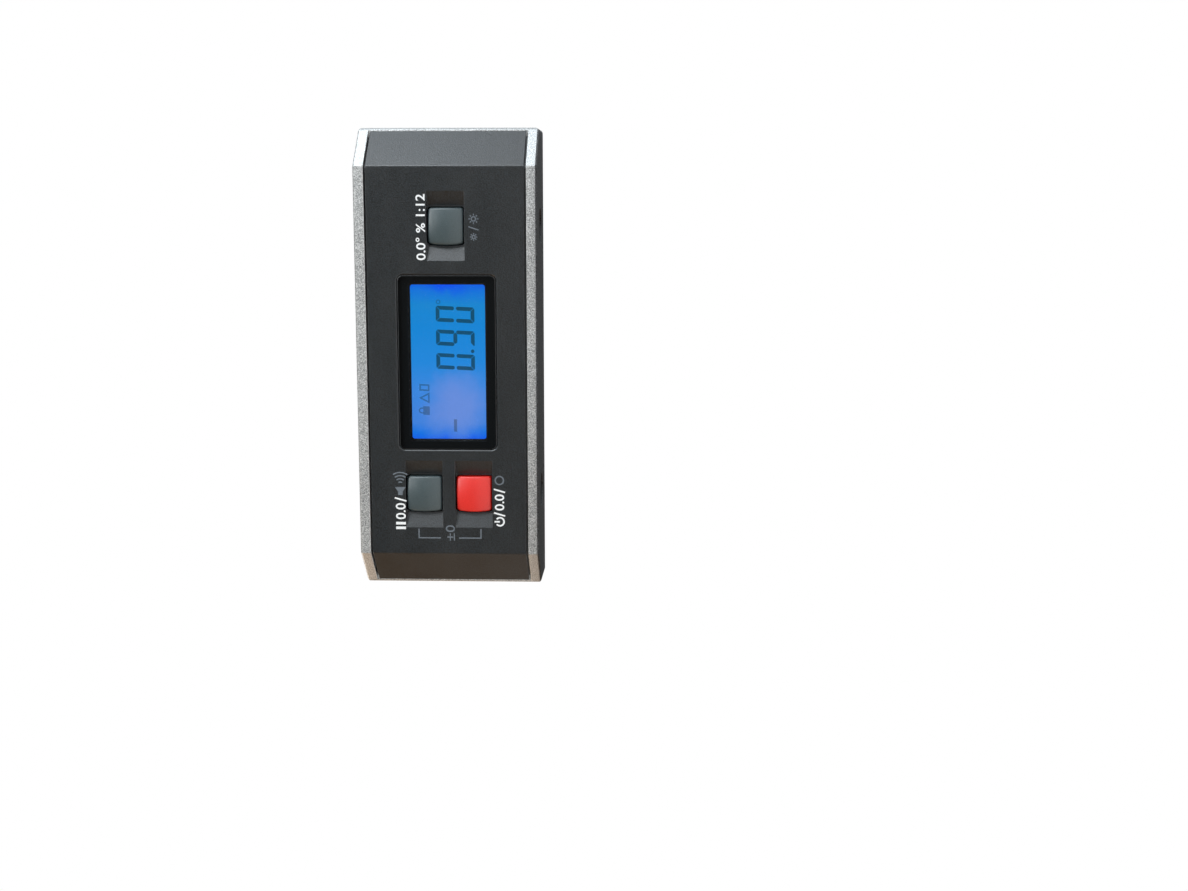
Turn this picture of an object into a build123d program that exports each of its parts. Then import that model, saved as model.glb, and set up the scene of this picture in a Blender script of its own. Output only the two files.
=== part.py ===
from build123d import *
import os
from math import sqrt

# Digital spirit level, in millimetres.
# A one-piece aluminium ring carries a black front cover with the display and three buttons.
# A back cover with the battery compartment closes the ring from behind.
# X runs along the level, Z up from its base, and Y from the display side to the back.
# The origin is in the middle of the base. Inner pieces stack up by their depth behind the front.

# Ring frame
LENGTH = 106.5
HEIGHT = 41.6
PLATE_WALL = 2.4
END_WALL = 3.25
BACK_RIM = 2.15
CHAMFER_LEG = 8.75
NOSE_RADIUS = 2.0
CORNER_RADIUS = 1.0
EDGE_BREAK = 0.35
BACK_EDGE_ROUND = 0.6

# Front cover
COVER_FIT = 0.1
GROOVE_WIDTH = 0.5
GROOVE_DEPTH = 1.0
COVER_STEP = 0.1
COVER_WALL = 1.8
COVER_FOLD = 0.6
COVER_END_MARGIN = 0.8
COVER_END_STEP = 0.25
SKIRT_WALL = 1.6
SKIRT_GAP = 0.3
TONGUE_DEPTH = 2.0
TONGUE_WALL = 1.2
TONGUE_HEIGHT = 25.0

# Display window and what lies under it, from the front to the board
DISPLAY_DROP = 0.05
WINDOW_LENGTH = 40.0
WINDOW_HEIGHT = 22.5
WINDOW_RADIUS = 1.3
WINDOW_BEVEL = 0.15
WINDOW_EASE = 0.2
WINDOW_FIT = 0.1
WINDOW_RECESS = 0.25
WINDOW_THICKNESS = 1.15
MASK_THICKNESS = 0.1
MASK_MARGIN = 0.4
LEDGE_THICKNESS = 0.9
LEDGE_WIDTH = 1.3
WINDOW_RIM = 1.3
VIEW_END_MARGIN = 2.2
VIEW_SIDE_MARGIN = 2.65
VIEW_RADIUS = 0.6
DISPLAY_GAP = 0.1
HOLDER_LIP = 0.4
HOLDER_WALL = 1.6
HOLDER_FIT = 0.15
LCD_END_BORDER = 1.3
LCD_SIDE_BORDER = 1.1
LCD_LEDGE = 1.5
LCD_SHEET = 0.7
GUIDE_THICKNESS = 2.1
GUIDE_MARGIN = 0.7
GUIDE_END_ROOM = 1.4
LED_LENGTH = 3.0
LED_HEIGHT = 1.4
LED_WIDTH = 0.7
LED_SPACING = 9.0
ZEBRA_INSET = 1.6
HOLDER_TAB_LENGTH = 2.4
HOLDER_TAB_WALL = 0.8

# Main board
BOARD_END_GAP = 2.0
BOARD_SIDE_GAP = 0.2
BOARD_THICKNESS = 1.0
BOARD_CORNER = 1.5
BOARD_BOSS_MARGIN = 3.0
BOARD_BOSS_RADIUS = 2.0
HOLE_CLEARANCE = 0.15
SCREW_CLEARANCE = 0.05
BOARD_SCREW_RADIUS = 0.7
BOARD_SCREW_HEAD_RADIUS = 1.4
BOARD_SCREW_HEAD = 0.9
BOARD_SCREW_REACH = 3.4

# Buttons, their finger scoops and their switches
UNITS_DISTANCE = 11.05
PAIR_DISTANCE = 10.45
PAIR_GAP = 3.4
BUTTON_LENGTH = 8.2
BUTTON_WIDTH = 8.1
BUTTON_CORNER = 0.6
BUTTON_BOW = 0.3
BUTTON_CROWN = 0.25
BUTTON_EDGE = 0.4
BUTTON_FIT = 0.25
BUTTON_WALL = 1.4
BUTTON_TRAVEL = 0.5
FLANGE_REACH = 0.45
FLANGE_GAP = 0.1
FLANGE_ROOM = 0.5
POST_RADIUS = 1.3
SCOOP_LENGTH = 15.7
SCOOP_DEPTH = 1.6
SCOOP_FLOOR = 1.0
SCOOP_SIDE_WALL = 1.2
SWITCH_SIZE = 6.0
SWITCH_PLATE = 0.2
SWITCH_LEG_WIDTH = 0.8
SWITCH_LEG_SPREAD = 4.4
PLUNGER_RADIUS = 1.7
PLUNGER_RISE = 1.2
PLUNGER_FIT = 0.08
PLUNGER_SEAT = 0.4
SWITCH_FLOOR = 0.6
PLUNGER_ROOM = 0.3

# Cells and their compartment
CELL_DIAMETER = 10.5
CELL_LENGTH = 44.5
CELL_GAP = 0.5
NUB_RADIUS = 1.9
NUB_LENGTH = 0.9
CELL_EDGE = 0.5
CELL_FIT = 0.15
SPRING_ROOM = 4.1
CONTACT_SHEET = 0.3
CONTACT_WIDTH = 7.0
LEAF_WIDTH = 4.5
TAIL_WIDTH = 1.6
BOARD_TUB_GAP = 0.3
TUB_FLOOR = 0.85
TUB_WALL = 1.8

# Back cover and battery door
BACK_WALL = 1.6
PAD_GAP = 0.1
PAD_THICKNESS = 0.2
PAD_LENGTH = 36.0
PAD_HEIGHT = 12.0
DOOR_THICKNESS = 1.5
DOOR_FIT = 0.2
DOOR_SEAT = 0.8
DOOR_END_SEAT = 2.0
DOOR_CORNER = 1.2
TAB_LENGTH = 1.6
TAB_THICKNESS = 1.0
TAB_WIDTH = 5.0
TAB_SPACING = 13.0
TAB_DROP = 0.35
TAB_ROOM = 0.8
TAB_ROOT = 1.2
LATCH_WIDTH = 7.0
LATCH_LENGTH = 5.0
LATCH_SLOT = 0.7
LATCH_HOOK = 0.9
LATCH_HOOK_DEPTH = 1.4
GRIP_COUNT = 5
GRIP_PITCH = 1.6
GRIP_DEPTH = 0.4
GRIP_WIDTH = 0.7
GRIP_LENGTH = 12.0
THUMB_RADIUS = 7.0
THUMB_DEPTH = 1.0
SOUND_SLIT_COUNT = 4
SOUND_SLIT_PITCH = 2.0
SOUND_SLIT_WIDTH = 0.8
SOUND_SLIT_LENGTH = 7.0
RIB_HEIGHT = 1.6
RIB_WALL = 1.0
RIB_SPACING = 21.0
RIB_END_ROOM = 4.6

# Screws that clamp the two covers on the ring
SCREW_END_ROOM = 3.8
SCREW_SIDE_ROOM = 4.1
SCREW_RADIUS = 0.95
SCREW_HEAD_RADIUS = 1.9
SCREW_HEAD = 1.3
SCREW_REACH = 5.5
BOSS_RADIUS = 2.2
WELL_WALL = 0.85
WELL_FLOOR = 1.5
BOSS_DEPTH = 14.0
PILOT_SPARE = 1.0

# Magnets in the base
MAGNET_END_DISTANCE = 22.25
MAGNET_RADIUS = 4.0
MAGNET_HEIGHT = 3.0
MAGNET_RECESS = 0.25
MAGNET_FIT = 0.05
MAGNET_BOSS_WALL = 1.15
MAGNET_BOSS_SKIN = 1.15

# Parts on the board
PART_TUB_GAP = 0.9
CHIP_SIZE = 7.0
CHIP_HEIGHT = 1.4
CHIP_LEADS = 6
CHIP_LEAD_PITCH = 1.0
CHIP_LEAD_LENGTH = 1.0
CHIP_LEAD_WIDTH = 0.35
CHIP_STAND_OFF = 0.15
SENSOR_RISE = 8.0
SENSOR_SIZE = 5.0
SENSOR_HEIGHT = 1.8
SENSOR_CORNER = 0.8
BUZZER_DROP = 5.0
BUZZER_RADIUS = 4.5
BUZZER_HEIGHT = 5.0
BUZZER_PORT = 1.0
CRYSTAL_LENGTH = 6.0
CRYSTAL_WIDTH = 2.4
CRYSTAL_HEIGHT = 1.6
CAPACITOR_COUNT = 6
CAPACITOR_PITCH = 1.8
CAPACITOR_LENGTH = 1.6
CAPACITOR_WIDTH = 0.9
CAPACITOR_HEIGHT = 0.8
PART_GAP = 1.6

# Depths behind the front face that follow from the stack
WINDOW_BACK = WINDOW_RECESS + WINDOW_THICKNESS
LEDGE_FRONT = WINDOW_BACK + MASK_THICKNESS
LEDGE_BACK = LEDGE_FRONT + LEDGE_THICKNESS
HOLDER_FRONT = LEDGE_BACK + DISPLAY_GAP
LCD_FRONT = HOLDER_FRONT + HOLDER_LIP
LCD_MIDDLE = LCD_FRONT + LCD_SHEET
LCD_BACK = LCD_MIDDLE + LCD_SHEET
BOARD_FRONT = LCD_BACK + GUIDE_THICKNESS
BOARD_BACK = BOARD_FRONT + BOARD_THICKNESS
TUB_FRONT = BOARD_BACK + BOARD_TUB_GAP
CELL_AXIS = TUB_FRONT + TUB_FLOOR + CELL_FIT + CELL_DIAMETER / 2
PAD_FRONT = CELL_AXIS + CELL_DIAMETER / 2 + PAD_GAP
DOOR_FRONT = PAD_FRONT + PAD_THICKNESS
DEPTH = DOOR_FRONT + DOOR_THICKNESS
BACK_SEAT = DEPTH - BACK_WALL
FRONT = -DEPTH / 2

# Lengths and heights that follow
DISPLAY_Z = HEIGHT / 2 - DISPLAY_DROP
VIEW_LENGTH = WINDOW_LENGTH - 2 * VIEW_END_MARGIN
VIEW_HEIGHT = WINDOW_HEIGHT - 2 * VIEW_SIDE_MARGIN
LCD_LENGTH = VIEW_LENGTH + 2 * LCD_END_BORDER
LCD_HEIGHT = VIEW_HEIGHT + 2 * LCD_SIDE_BORDER
ZEBRA_LENGTH = LCD_LENGTH - 2 * ZEBRA_INSET
UNITS_X = WINDOW_LENGTH / 2 + UNITS_DISTANCE
PAIR_X = -WINDOW_LENGTH / 2 - PAIR_DISTANCE
PAIR_PITCH = BUTTON_WIDTH + PAIR_GAP
CELL_PITCH = CELL_DIAMETER + CELL_GAP
FLAT_HALF = LENGTH / 2 - CHAMFER_LEG
COVER_HALF = LENGTH / 2 - COVER_END_MARGIN
COVER_END = COVER_HALF - FLAT_HALF + COVER_END_STEP
RING_HALF = LENGTH / 2 - END_WALL
SCREW_X = RING_HALF - SCREW_END_ROOM
SCREW_SPACING = HEIGHT - 2 * (PLATE_WALL + SCREW_SIDE_ROOM)
MAGNET_X = LENGTH / 2 - MAGNET_END_DISTANCE
MAGNET_BOSS_RADIUS = MAGNET_RADIUS + MAGNET_FIT + MAGNET_BOSS_WALL
MAGNET_BOSS_TOP = MAGNET_RECESS + MAGNET_HEIGHT + MAGNET_BOSS_SKIN
SKIRT_DEPTH = DEPTH / 2 - MAGNET_BOSS_RADIUS - SKIRT_GAP
SKIRT_INNER = PLATE_WALL + COVER_FIT + SKIRT_WALL
BOARD_LENGTH = 2 * (SCREW_X - BOSS_RADIUS - BOARD_END_GAP)
BOARD_HEIGHT = HEIGHT - 2 * (max(SKIRT_INNER, MAGNET_BOSS_TOP) + BOARD_SIDE_GAP)
BOARD_BOSS_X = BOARD_LENGTH / 2 - BOARD_BOSS_MARGIN
BOARD_BOSS_SPACING = BOARD_HEIGHT - 2 * BOARD_BOSS_MARGIN
TUB_HALF = (CELL_LENGTH + SPRING_ROOM) / 2 + CONTACT_SHEET
TUB_RISE = CELL_PITCH / 2 + CELL_DIAMETER / 2 + CELL_FIT
OPENING_HALF = TUB_HALF + DOOR_END_SEAT + DOOR_FIT
OPENING_RISE = TUB_RISE + DOOR_SEAT + DOOR_FIT
TUB_OUTER_HALF = OPENING_HALF + DOOR_SEAT
TUB_OUTER_RISE = TUB_RISE + TUB_WALL
CHIP_X = -TUB_OUTER_HALF - PART_TUB_GAP - CHIP_LEAD_LENGTH - CHIP_SIZE / 2
BUZZER_X = TUB_OUTER_HALF + PART_TUB_GAP + BUZZER_RADIUS
SCOOP_HALF = SCOOP_LENGTH / 2
SCOOP_FLAT = BUTTON_LENGTH / 2 + BUTTON_FIT + BUTTON_BOW
SCOOP_BACK = SCOOP_DEPTH + SCOOP_FLOOR
SWITCH_HEIGHT = PLUNGER_SEAT + BUTTON_TRAVEL + PLUNGER_ROOM + SWITCH_FLOOR
SWITCH_FRONT = BOARD_FRONT - SWITCH_HEIGHT - SWITCH_PLATE
PLUNGER_FRONT = SWITCH_FRONT - PLUNGER_RISE
FLANGE_FRONT = SCOOP_BACK + FLANGE_GAP
FLANGE_BACK = SWITCH_FRONT - BUTTON_TRAVEL - FLANGE_ROOM
TAB_FRONT = BACK_SEAT - TAB_DROP - TAB_THICKNESS
SCREW_HEAD_FRONT = BOSS_DEPTH + WELL_FLOOR

BUTTON_PLACES = {
    "units": (UNITS_X, DISPLAY_Z),
    "hold": (PAIR_X, DISPLAY_Z + PAIR_PITCH / 2),
    "power": (PAIR_X, DISPLAY_Z - PAIR_PITCH / 2),
}


def slab(outline, front, back):
    """Extrude an outline of the front view between two depths."""
    start = Plane.XZ.offset(-(FRONT + front))
    return extrude(start * outline, amount=back - front, dir=(0, 1, 0))


def prism(outline, low, high):
    """Extrude an outline of the top view between two heights."""
    return extrude(Pos(0, 0, low) * outline, amount=high - low, dir=(0, 0, 1))


def block(x_span, depth_span, z_span):
    """A plain block between two places along X, in depth and in height."""
    middle = Pos((x_span[0] + x_span[1]) / 2, 0, 0)
    outline = middle * Rectangle(x_span[1] - x_span[0], z_span[1] - z_span[0])
    return slab(Pos(0, (z_span[0] + z_span[1]) / 2) * outline, depth_span[0], depth_span[1])


def rod(x, z, radius, front, back):
    """A round rod that runs in depth."""
    return slab(Pos(x, z) * Circle(radius), front, back)


def top_view(points):
    """A polygon from pairs of place along X and depth."""
    return Polygon(*[(x, FRONT + depth) for x, depth in points], align=None)


def corners(x_half, spacing):
    """The four places of a pattern that is centred on the display's height."""
    heights = (DISPLAY_Z - spacing / 2, DISPLAY_Z + spacing / 2)
    return [(x, z) for x in (-x_half, x_half) for z in heights]


def make_frame():
    """One-piece ring: two walls, chamfered ends, a seat for each cover and bosses for the magnets."""
    half = LENGTH / 2
    plan = top_view([
        (-FLAT_HALF, 0), (FLAT_HALF, 0), (half, CHAMFER_LEG),
        (half, DEPTH), (-half, DEPTH), (-half, CHAMFER_LEG),
    ])
    noses = plan.vertices().group_by(Axis.Y)[1]
    plan = fillet(noses, NOSE_RADIUS)
    plan = fillet(plan.vertices().group_by(Axis.Y)[-1], BACK_EDGE_ROUND)
    body = prism(plan, 0, HEIGHT)
    rims = body.faces().sort_by(Axis.Z)
    body = chamfer(rims[0].edges() + rims[-1].edges(), EDGE_BREAK)
    front_view = Pos(0, HEIGHT / 2) * RectangleRounded(LENGTH, HEIGHT, CORNER_RADIUS)
    body &= slab(front_view, 0, DEPTH)
    wall_span = (PLATE_WALL, HEIGHT - PLATE_WALL)
    body -= block((-RING_HALF, RING_HALF), (-1, DEPTH + 1), wall_span)
    body -= block((-half, half), (-1, COVER_END), wall_span)
    body -= block((-half + BACK_RIM, half - BACK_RIM), (BACK_SEAT, DEPTH + 1), wall_span)
    for x in (-MAGNET_X, MAGNET_X):
        body += prism(Pos(x, 0) * Circle(MAGNET_BOSS_RADIUS), PLATE_WALL / 2, MAGNET_BOSS_TOP)
        pocket = Pos(x, 0) * Circle(MAGNET_RADIUS + MAGNET_FIT)
        body -= prism(pocket, -1, MAGNET_RECESS + MAGNET_HEIGHT)
    return body


def make_magnets():
    """Two disc magnets, a little below the face of the base."""
    disc = Circle(MAGNET_RADIUS)
    top = MAGNET_RECESS + MAGNET_HEIGHT
    return [prism(Pos(x, 0) * disc, MAGNET_RECESS, top) for x in (-MAGNET_X, MAGNET_X)]


def cover_plan(inset):
    """Top view of the front cover, drawn in by a wall along its front and both slopes."""
    flat = FLAT_HALF - inset * (sqrt(2) - 1)
    end = FLAT_HALF + COVER_END - inset * sqrt(2)
    slopes = top_view([(-flat, inset), (flat, inset), (end, COVER_END), (-end, COVER_END)])
    slopes = fillet(slopes.vertices().group_by(Axis.Y)[0], COVER_FOLD)
    return slopes & (Pos(0, FRONT + COVER_END / 2) * Rectangle(2 * COVER_HALF, COVER_END))


def cap_outline(grow=0.0):
    """Outline of a button: three straight sides and one that bows out a little."""
    half_x = BUTTON_LENGTH / 2 + grow
    half_z = BUTTON_WIDTH / 2 + grow
    corner_x = BUTTON_BOW / 2 - half_x
    sides = Polyline((corner_x, half_z), (half_x, half_z), (half_x, -half_z), (corner_x, -half_z))
    bow = ThreePointArc((corner_x, -half_z), (corner_x - BUTTON_BOW, 0), (corner_x, half_z))
    outline = make_face(sides + bow)
    return fillet(outline.vertices(), BUTTON_CORNER + grow)


def scoop_pad():
    """Thicker wall behind a finger scoop, centred on its button."""
    half_width = BUTTON_WIDTH / 2 + BUTTON_FIT + SCOOP_SIDE_WALL
    outer = SCOOP_HALF + SCOOP_FLOOR
    inner = SCOOP_FLAT + SCOOP_FLOOR / 2
    profile = top_view([
        (-outer, COVER_WALL / 2), (-inner, SCOOP_BACK), (inner, SCOOP_BACK), (outer, COVER_WALL / 2),
    ])
    return prism(profile, -half_width, half_width)


def scoop_cut():
    """Finger scoop with two ramps, and the hole that its button comes through."""
    half_width = BUTTON_WIDTH / 2 + BUTTON_FIT
    profile = top_view([
        (-SCOOP_HALF, -1), (-SCOOP_HALF, COVER_STEP), (-SCOOP_FLAT, SCOOP_DEPTH),
        (SCOOP_FLAT, SCOOP_DEPTH), (SCOOP_HALF, COVER_STEP), (SCOOP_HALF, -1),
    ])
    return prism(profile, -half_width, half_width) + slab(cap_outline(BUTTON_FIT), 0, SCOOP_BACK + 1)


def make_front_cover():
    """Moulded front: window recess, three scoops, skirts, end tongues and screw bosses."""
    outer = (PLATE_WALL + GROOVE_WIDTH, HEIGHT - PLATE_WALL - GROOVE_WIDTH)
    lip = (PLATE_WALL + COVER_FIT, HEIGHT - PLATE_WALL - COVER_FIT)
    cover = prism(cover_plan(COVER_STEP), *outer) + prism(cover_plan(GROOVE_DEPTH), *lip)
    cover -= prism(cover_plan(COVER_WALL), lip[0] + SKIRT_WALL, lip[1] - SKIRT_WALL)
    relief = FLAT_HALF + SKIRT_DEPTH - COVER_WALL * sqrt(2)
    cover -= block((-relief, relief), (SKIRT_DEPTH, COVER_END + 1), (0, HEIGHT))

    tongue_z = (DISPLAY_Z - TONGUE_HEIGHT / 2, DISPLAY_Z + TONGUE_HEIGHT / 2)
    tongue_x = RING_HALF - COVER_FIT
    for side in (-1, 1):
        span = sorted((side * tongue_x, side * (tongue_x - TONGUE_WALL)))
        cover += block(span, (COVER_END - COVER_WALL, COVER_END + TONGUE_DEPTH), tongue_z)

    slope_end = SCREW_X + BOSS_RADIUS - FLAT_HALF + COVER_WALL
    inside_slopes = prism(cover_plan(COVER_WALL / 2), *outer)
    for x, z in corners(SCREW_X, SCREW_SPACING):
        cover += rod(x, z, BOSS_RADIUS, 0, slope_end) & inside_slopes
        cover += rod(x, z, BOSS_RADIUS, slope_end, BOSS_DEPTH)
    for x, z in corners(BOARD_BOSS_X, BOARD_BOSS_SPACING):
        cover += rod(x, z, BOARD_BOSS_RADIUS, COVER_WALL / 2, BOARD_FRONT)

    recess_size = (WINDOW_LENGTH + 2 * WINDOW_FIT, WINDOW_HEIGHT + 2 * WINDOW_FIT)
    rim_size = [size + 2 * WINDOW_RIM for size in recess_size]
    hole_size = [size - 2 * LEDGE_WIDTH for size in recess_size]
    at_display = Pos(0, DISPLAY_Z)
    rim = at_display * RectangleRounded(*rim_size, WINDOW_RADIUS + WINDOW_RIM)
    cover += slab(rim, COVER_WALL / 2, LEDGE_BACK)
    for x, z in BUTTON_PLACES.values():
        cover += (Pos(x, 0, z) * scoop_pad()) & inside_slopes
    recess = at_display * RectangleRounded(*recess_size, WINDOW_RADIUS + WINDOW_FIT)
    cover -= slab(recess, -1, LEDGE_FRONT)
    front_face = cover.faces().sort_by(Axis.Y)[0]
    cover = chamfer(front_face.inner_wires()[0].edges(), WINDOW_EASE)
    cover -= slab(at_display * RectangleRounded(*hole_size, VIEW_RADIUS), 0, LEDGE_BACK + 1)
    for x, z in BUTTON_PLACES.values():
        cover -= Pos(x, 0, z) * scoop_cut()

    for x, z in corners(SCREW_X, SCREW_SPACING):
        pilot_front = BOSS_DEPTH - SCREW_REACH - PILOT_SPARE
        cover -= rod(x, z, SCREW_RADIUS + SCREW_CLEARANCE, pilot_front, BOSS_DEPTH + 1)
    for x, z in corners(BOARD_BOSS_X, BOARD_BOSS_SPACING):
        pilot_front = BOARD_FRONT - BOARD_SCREW_REACH - SCREW_CLEARANCE
        cover -= rod(x, z, BOARD_SCREW_RADIUS + SCREW_CLEARANCE, pilot_front, BOARD_FRONT + 1)
    return cover


def make_window():
    """Clear plate with a small bevel round its front edge."""
    plate = slab(
        Pos(0, DISPLAY_Z) * RectangleRounded(WINDOW_LENGTH, WINDOW_HEIGHT, WINDOW_RADIUS),
        WINDOW_RECESS, WINDOW_BACK,
    )
    return chamfer(plate.faces().sort_by(Axis.Y)[0].edges(), WINDOW_BEVEL)


def make_window_mask():
    """Black border between the window and its ledge."""
    border = RectangleRounded(WINDOW_LENGTH, WINDOW_HEIGHT, WINDOW_RADIUS)
    opening = RectangleRounded(VIEW_LENGTH + 2 * MASK_MARGIN, VIEW_HEIGHT + 2 * MASK_MARGIN, VIEW_RADIUS)
    return slab(Pos(0, DISPLAY_Z) * (border - opening), WINDOW_BACK, LEDGE_FRONT)


def make_lcd_glass():
    """Display cell of two bonded sheets: the rear one is longer at the bottom, for its contacts."""
    front_sheet = Pos(0, DISPLAY_Z) * Rectangle(LCD_LENGTH, LCD_HEIGHT)
    rear_sheet = Pos(0, DISPLAY_Z - LCD_LEDGE / 2) * Rectangle(LCD_LENGTH, LCD_HEIGHT + LCD_LEDGE)
    return slab(front_sheet, LCD_FRONT, LCD_MIDDLE) + slab(rear_sheet, LCD_MIDDLE, LCD_BACK)


def make_light_guide():
    """Clear block behind the display, with sloped feed edges at the lamps' end."""
    half = LCD_LENGTH / 2 - GUIDE_MARGIN
    start = GUIDE_END_ROOM - LCD_LENGTH / 2
    profile = top_view([
        (start, LCD_BACK), (half, LCD_BACK), (half, BOARD_FRONT - GUIDE_MARGIN), (start, BOARD_FRONT),
    ])
    low = DISPLAY_Z - LCD_HEIGHT / 2 + GUIDE_MARGIN
    return prism(profile, low, DISPLAY_Z + LCD_HEIGHT / 2 - GUIDE_MARGIN)


def make_backlight_leds():
    """Two lamps on the board that shine into the end of the light guide."""
    end = GUIDE_END_ROOM - LCD_LENGTH / 2
    lamps = []
    for z in (DISPLAY_Z - LED_SPACING / 2, DISPLAY_Z + LED_SPACING / 2):
        span_z = (z - LED_LENGTH / 2, z + LED_LENGTH / 2)
        lamps.append(block((end - LED_WIDTH, end), (BOARD_FRONT - LED_HEIGHT, BOARD_FRONT), span_z))
    return lamps


def holder_span():
    """Lowest and highest place of the room inside the display holder."""
    low = DISPLAY_Z - LCD_HEIGHT / 2 - LCD_LEDGE - HOLDER_FIT
    return low, DISPLAY_Z + LCD_HEIGHT / 2 + HOLDER_FIT


def holder_tabs(front, grow=0.0):
    """Four flat tabs that hold the display holder in slots of the board."""
    tabs = []
    x = LCD_LENGTH / 2 + HOLDER_FIT + HOLDER_WALL / 2
    half_wall = HOLDER_TAB_WALL / 2 + grow
    half_length = HOLDER_TAB_LENGTH / 2 + grow
    for place_x in (-x, x):
        for z in (DISPLAY_Z - LCD_HEIGHT / 3, DISPLAY_Z + LCD_HEIGHT / 3):
            tab_x = (place_x - half_wall, place_x + half_wall)
            tabs.append(block(tab_x, (front, BOARD_BACK + grow), (z - half_length, z + half_length)))
    return tabs


def make_lcd_holder():
    """Frame round the display, with a thin lip in front and four tabs in the board."""
    low, high = holder_span()
    room_half = LCD_LENGTH / 2 + HOLDER_FIT
    outer = (-room_half - HOLDER_WALL, room_half + HOLDER_WALL)
    frame = block(outer, (HOLDER_FRONT, BOARD_FRONT), (low - HOLDER_WALL, high + HOLDER_WALL))
    frame -= block((-room_half, room_half), (LCD_FRONT, BOARD_FRONT + 1), (low, high))
    view = Pos(0, DISPLAY_Z) * RectangleRounded(VIEW_LENGTH, VIEW_HEIGHT, VIEW_RADIUS)
    frame -= slab(view, HOLDER_FRONT - 1, LCD_FRONT + 1)
    return frame + holder_tabs(BOARD_FRONT - HOLDER_LIP)


def make_zebra_strip():
    """Layered rubber strip from the display's ledge to the board."""
    low = DISPLAY_Z - LCD_HEIGHT / 2 - LCD_LEDGE
    return block((-ZEBRA_LENGTH / 2, ZEBRA_LENGTH / 2), (LCD_BACK, BOARD_FRONT), (low, low + LCD_LEDGE))


def make_cap(post_end):
    """Hollow button, crowned in front, with a flange behind the cover and a post on its switch."""
    cap = slab(cap_outline(), 0, FLANGE_BACK)
    crown_radius = ((BUTTON_WIDTH / 2) ** 2 + BUTTON_CROWN ** 2) / (2 * BUTTON_CROWN)
    cap &= Pos(0, FRONT + crown_radius, 0) * Sphere(crown_radius)
    cap = chamfer(cap.faces().sort_by(Axis.Y)[0].edges(), BUTTON_EDGE)
    flange = Rectangle(
        BUTTON_LENGTH + BUTTON_BOW + 2 * BUTTON_FIT + 2 * FLANGE_REACH,
        BUTTON_WIDTH + 2 * BUTTON_FIT + 2 * FLANGE_REACH,
    )
    cap += slab(flange, FLANGE_FRONT, FLANGE_BACK)
    hollow = Rectangle(BUTTON_LENGTH - 2 * BUTTON_WALL, BUTTON_WIDTH - 2 * BUTTON_WALL)
    cap -= slab(hollow, BUTTON_WALL, FLANGE_BACK + 1)
    return cap + rod(0, 0, POST_RADIUS, BUTTON_WALL / 2, post_end)


def make_plunger():
    """Moving pin of a switch, which the button's post rests on."""
    return rod(0, 0, PLUNGER_RADIUS, PLUNGER_FRONT, SWITCH_FRONT + SWITCH_PLATE + PLUNGER_SEAT)


def make_switch_body():
    """Square body of a switch, with the well that its pin sinks into."""
    front = SWITCH_FRONT + SWITCH_PLATE
    half = SWITCH_SIZE / 2
    body = block((-half, half), (front, BOARD_FRONT), (-half, half))
    return body - rod(0, 0, PLUNGER_RADIUS + PLUNGER_FIT, front - 1, BOARD_FRONT - SWITCH_FLOOR)


def make_switch_plate():
    """Steel top plate of a switch, with four legs down to the board."""
    half = SWITCH_SIZE / 2
    back = SWITCH_FRONT + SWITCH_PLATE
    plate = block((-half - SWITCH_PLATE, half + SWITCH_PLATE), (SWITCH_FRONT, back), (-half, half))
    for x in (-half - SWITCH_PLATE, half):
        for z in (-SWITCH_LEG_SPREAD / 2, SWITCH_LEG_SPREAD / 2):
            leg_z = (z - SWITCH_LEG_WIDTH / 2, z + SWITCH_LEG_WIDTH / 2)
            plate += block((x, x + SWITCH_PLATE), (SWITCH_FRONT, BOARD_FRONT), leg_z)
    return plate - rod(0, 0, PLUNGER_RADIUS + PLUNGER_FIT, SWITCH_FRONT - 1, back + 1)


def at_buttons(piece):
    """Copies of a piece, one at each button."""
    return [Pos(x, 0, z) * piece for x, z in BUTTON_PLACES.values()]


def make_main_board():
    """Circuit board with holes for its screws and slots for the holder and the contacts."""
    outline = Pos(0, HEIGHT / 2) * RectangleRounded(BOARD_LENGTH, BOARD_HEIGHT, BOARD_CORNER)
    board = slab(outline, BOARD_FRONT, BOARD_BACK)
    for x, z in corners(BOARD_BOSS_X, BOARD_BOSS_SPACING):
        board -= rod(x, z, BOARD_SCREW_RADIUS + HOLE_CLEARANCE, BOARD_FRONT - 1, BOARD_BACK + 1)
    board -= holder_tabs(BOARD_FRONT, SCREW_CLEARANCE)
    for z in cell_heights():
        board -= tail_block(z, BOARD_FRONT - 1, BOARD_BACK + 1, HOLE_CLEARANCE)
    return board


def make_board_screws():
    """Short screws that hold the board on the front cover's bosses."""
    screws = []
    for x, z in corners(BOARD_BOSS_X, BOARD_BOSS_SPACING):
        shank = rod(x, z, BOARD_SCREW_RADIUS, BOARD_FRONT - BOARD_SCREW_REACH, BOARD_BACK)
        head = rod(x, z, BOARD_SCREW_HEAD_RADIUS, BOARD_BACK, BOARD_BACK + BOARD_SCREW_HEAD)
        screws.append(shank + head)
    return screws


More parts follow.
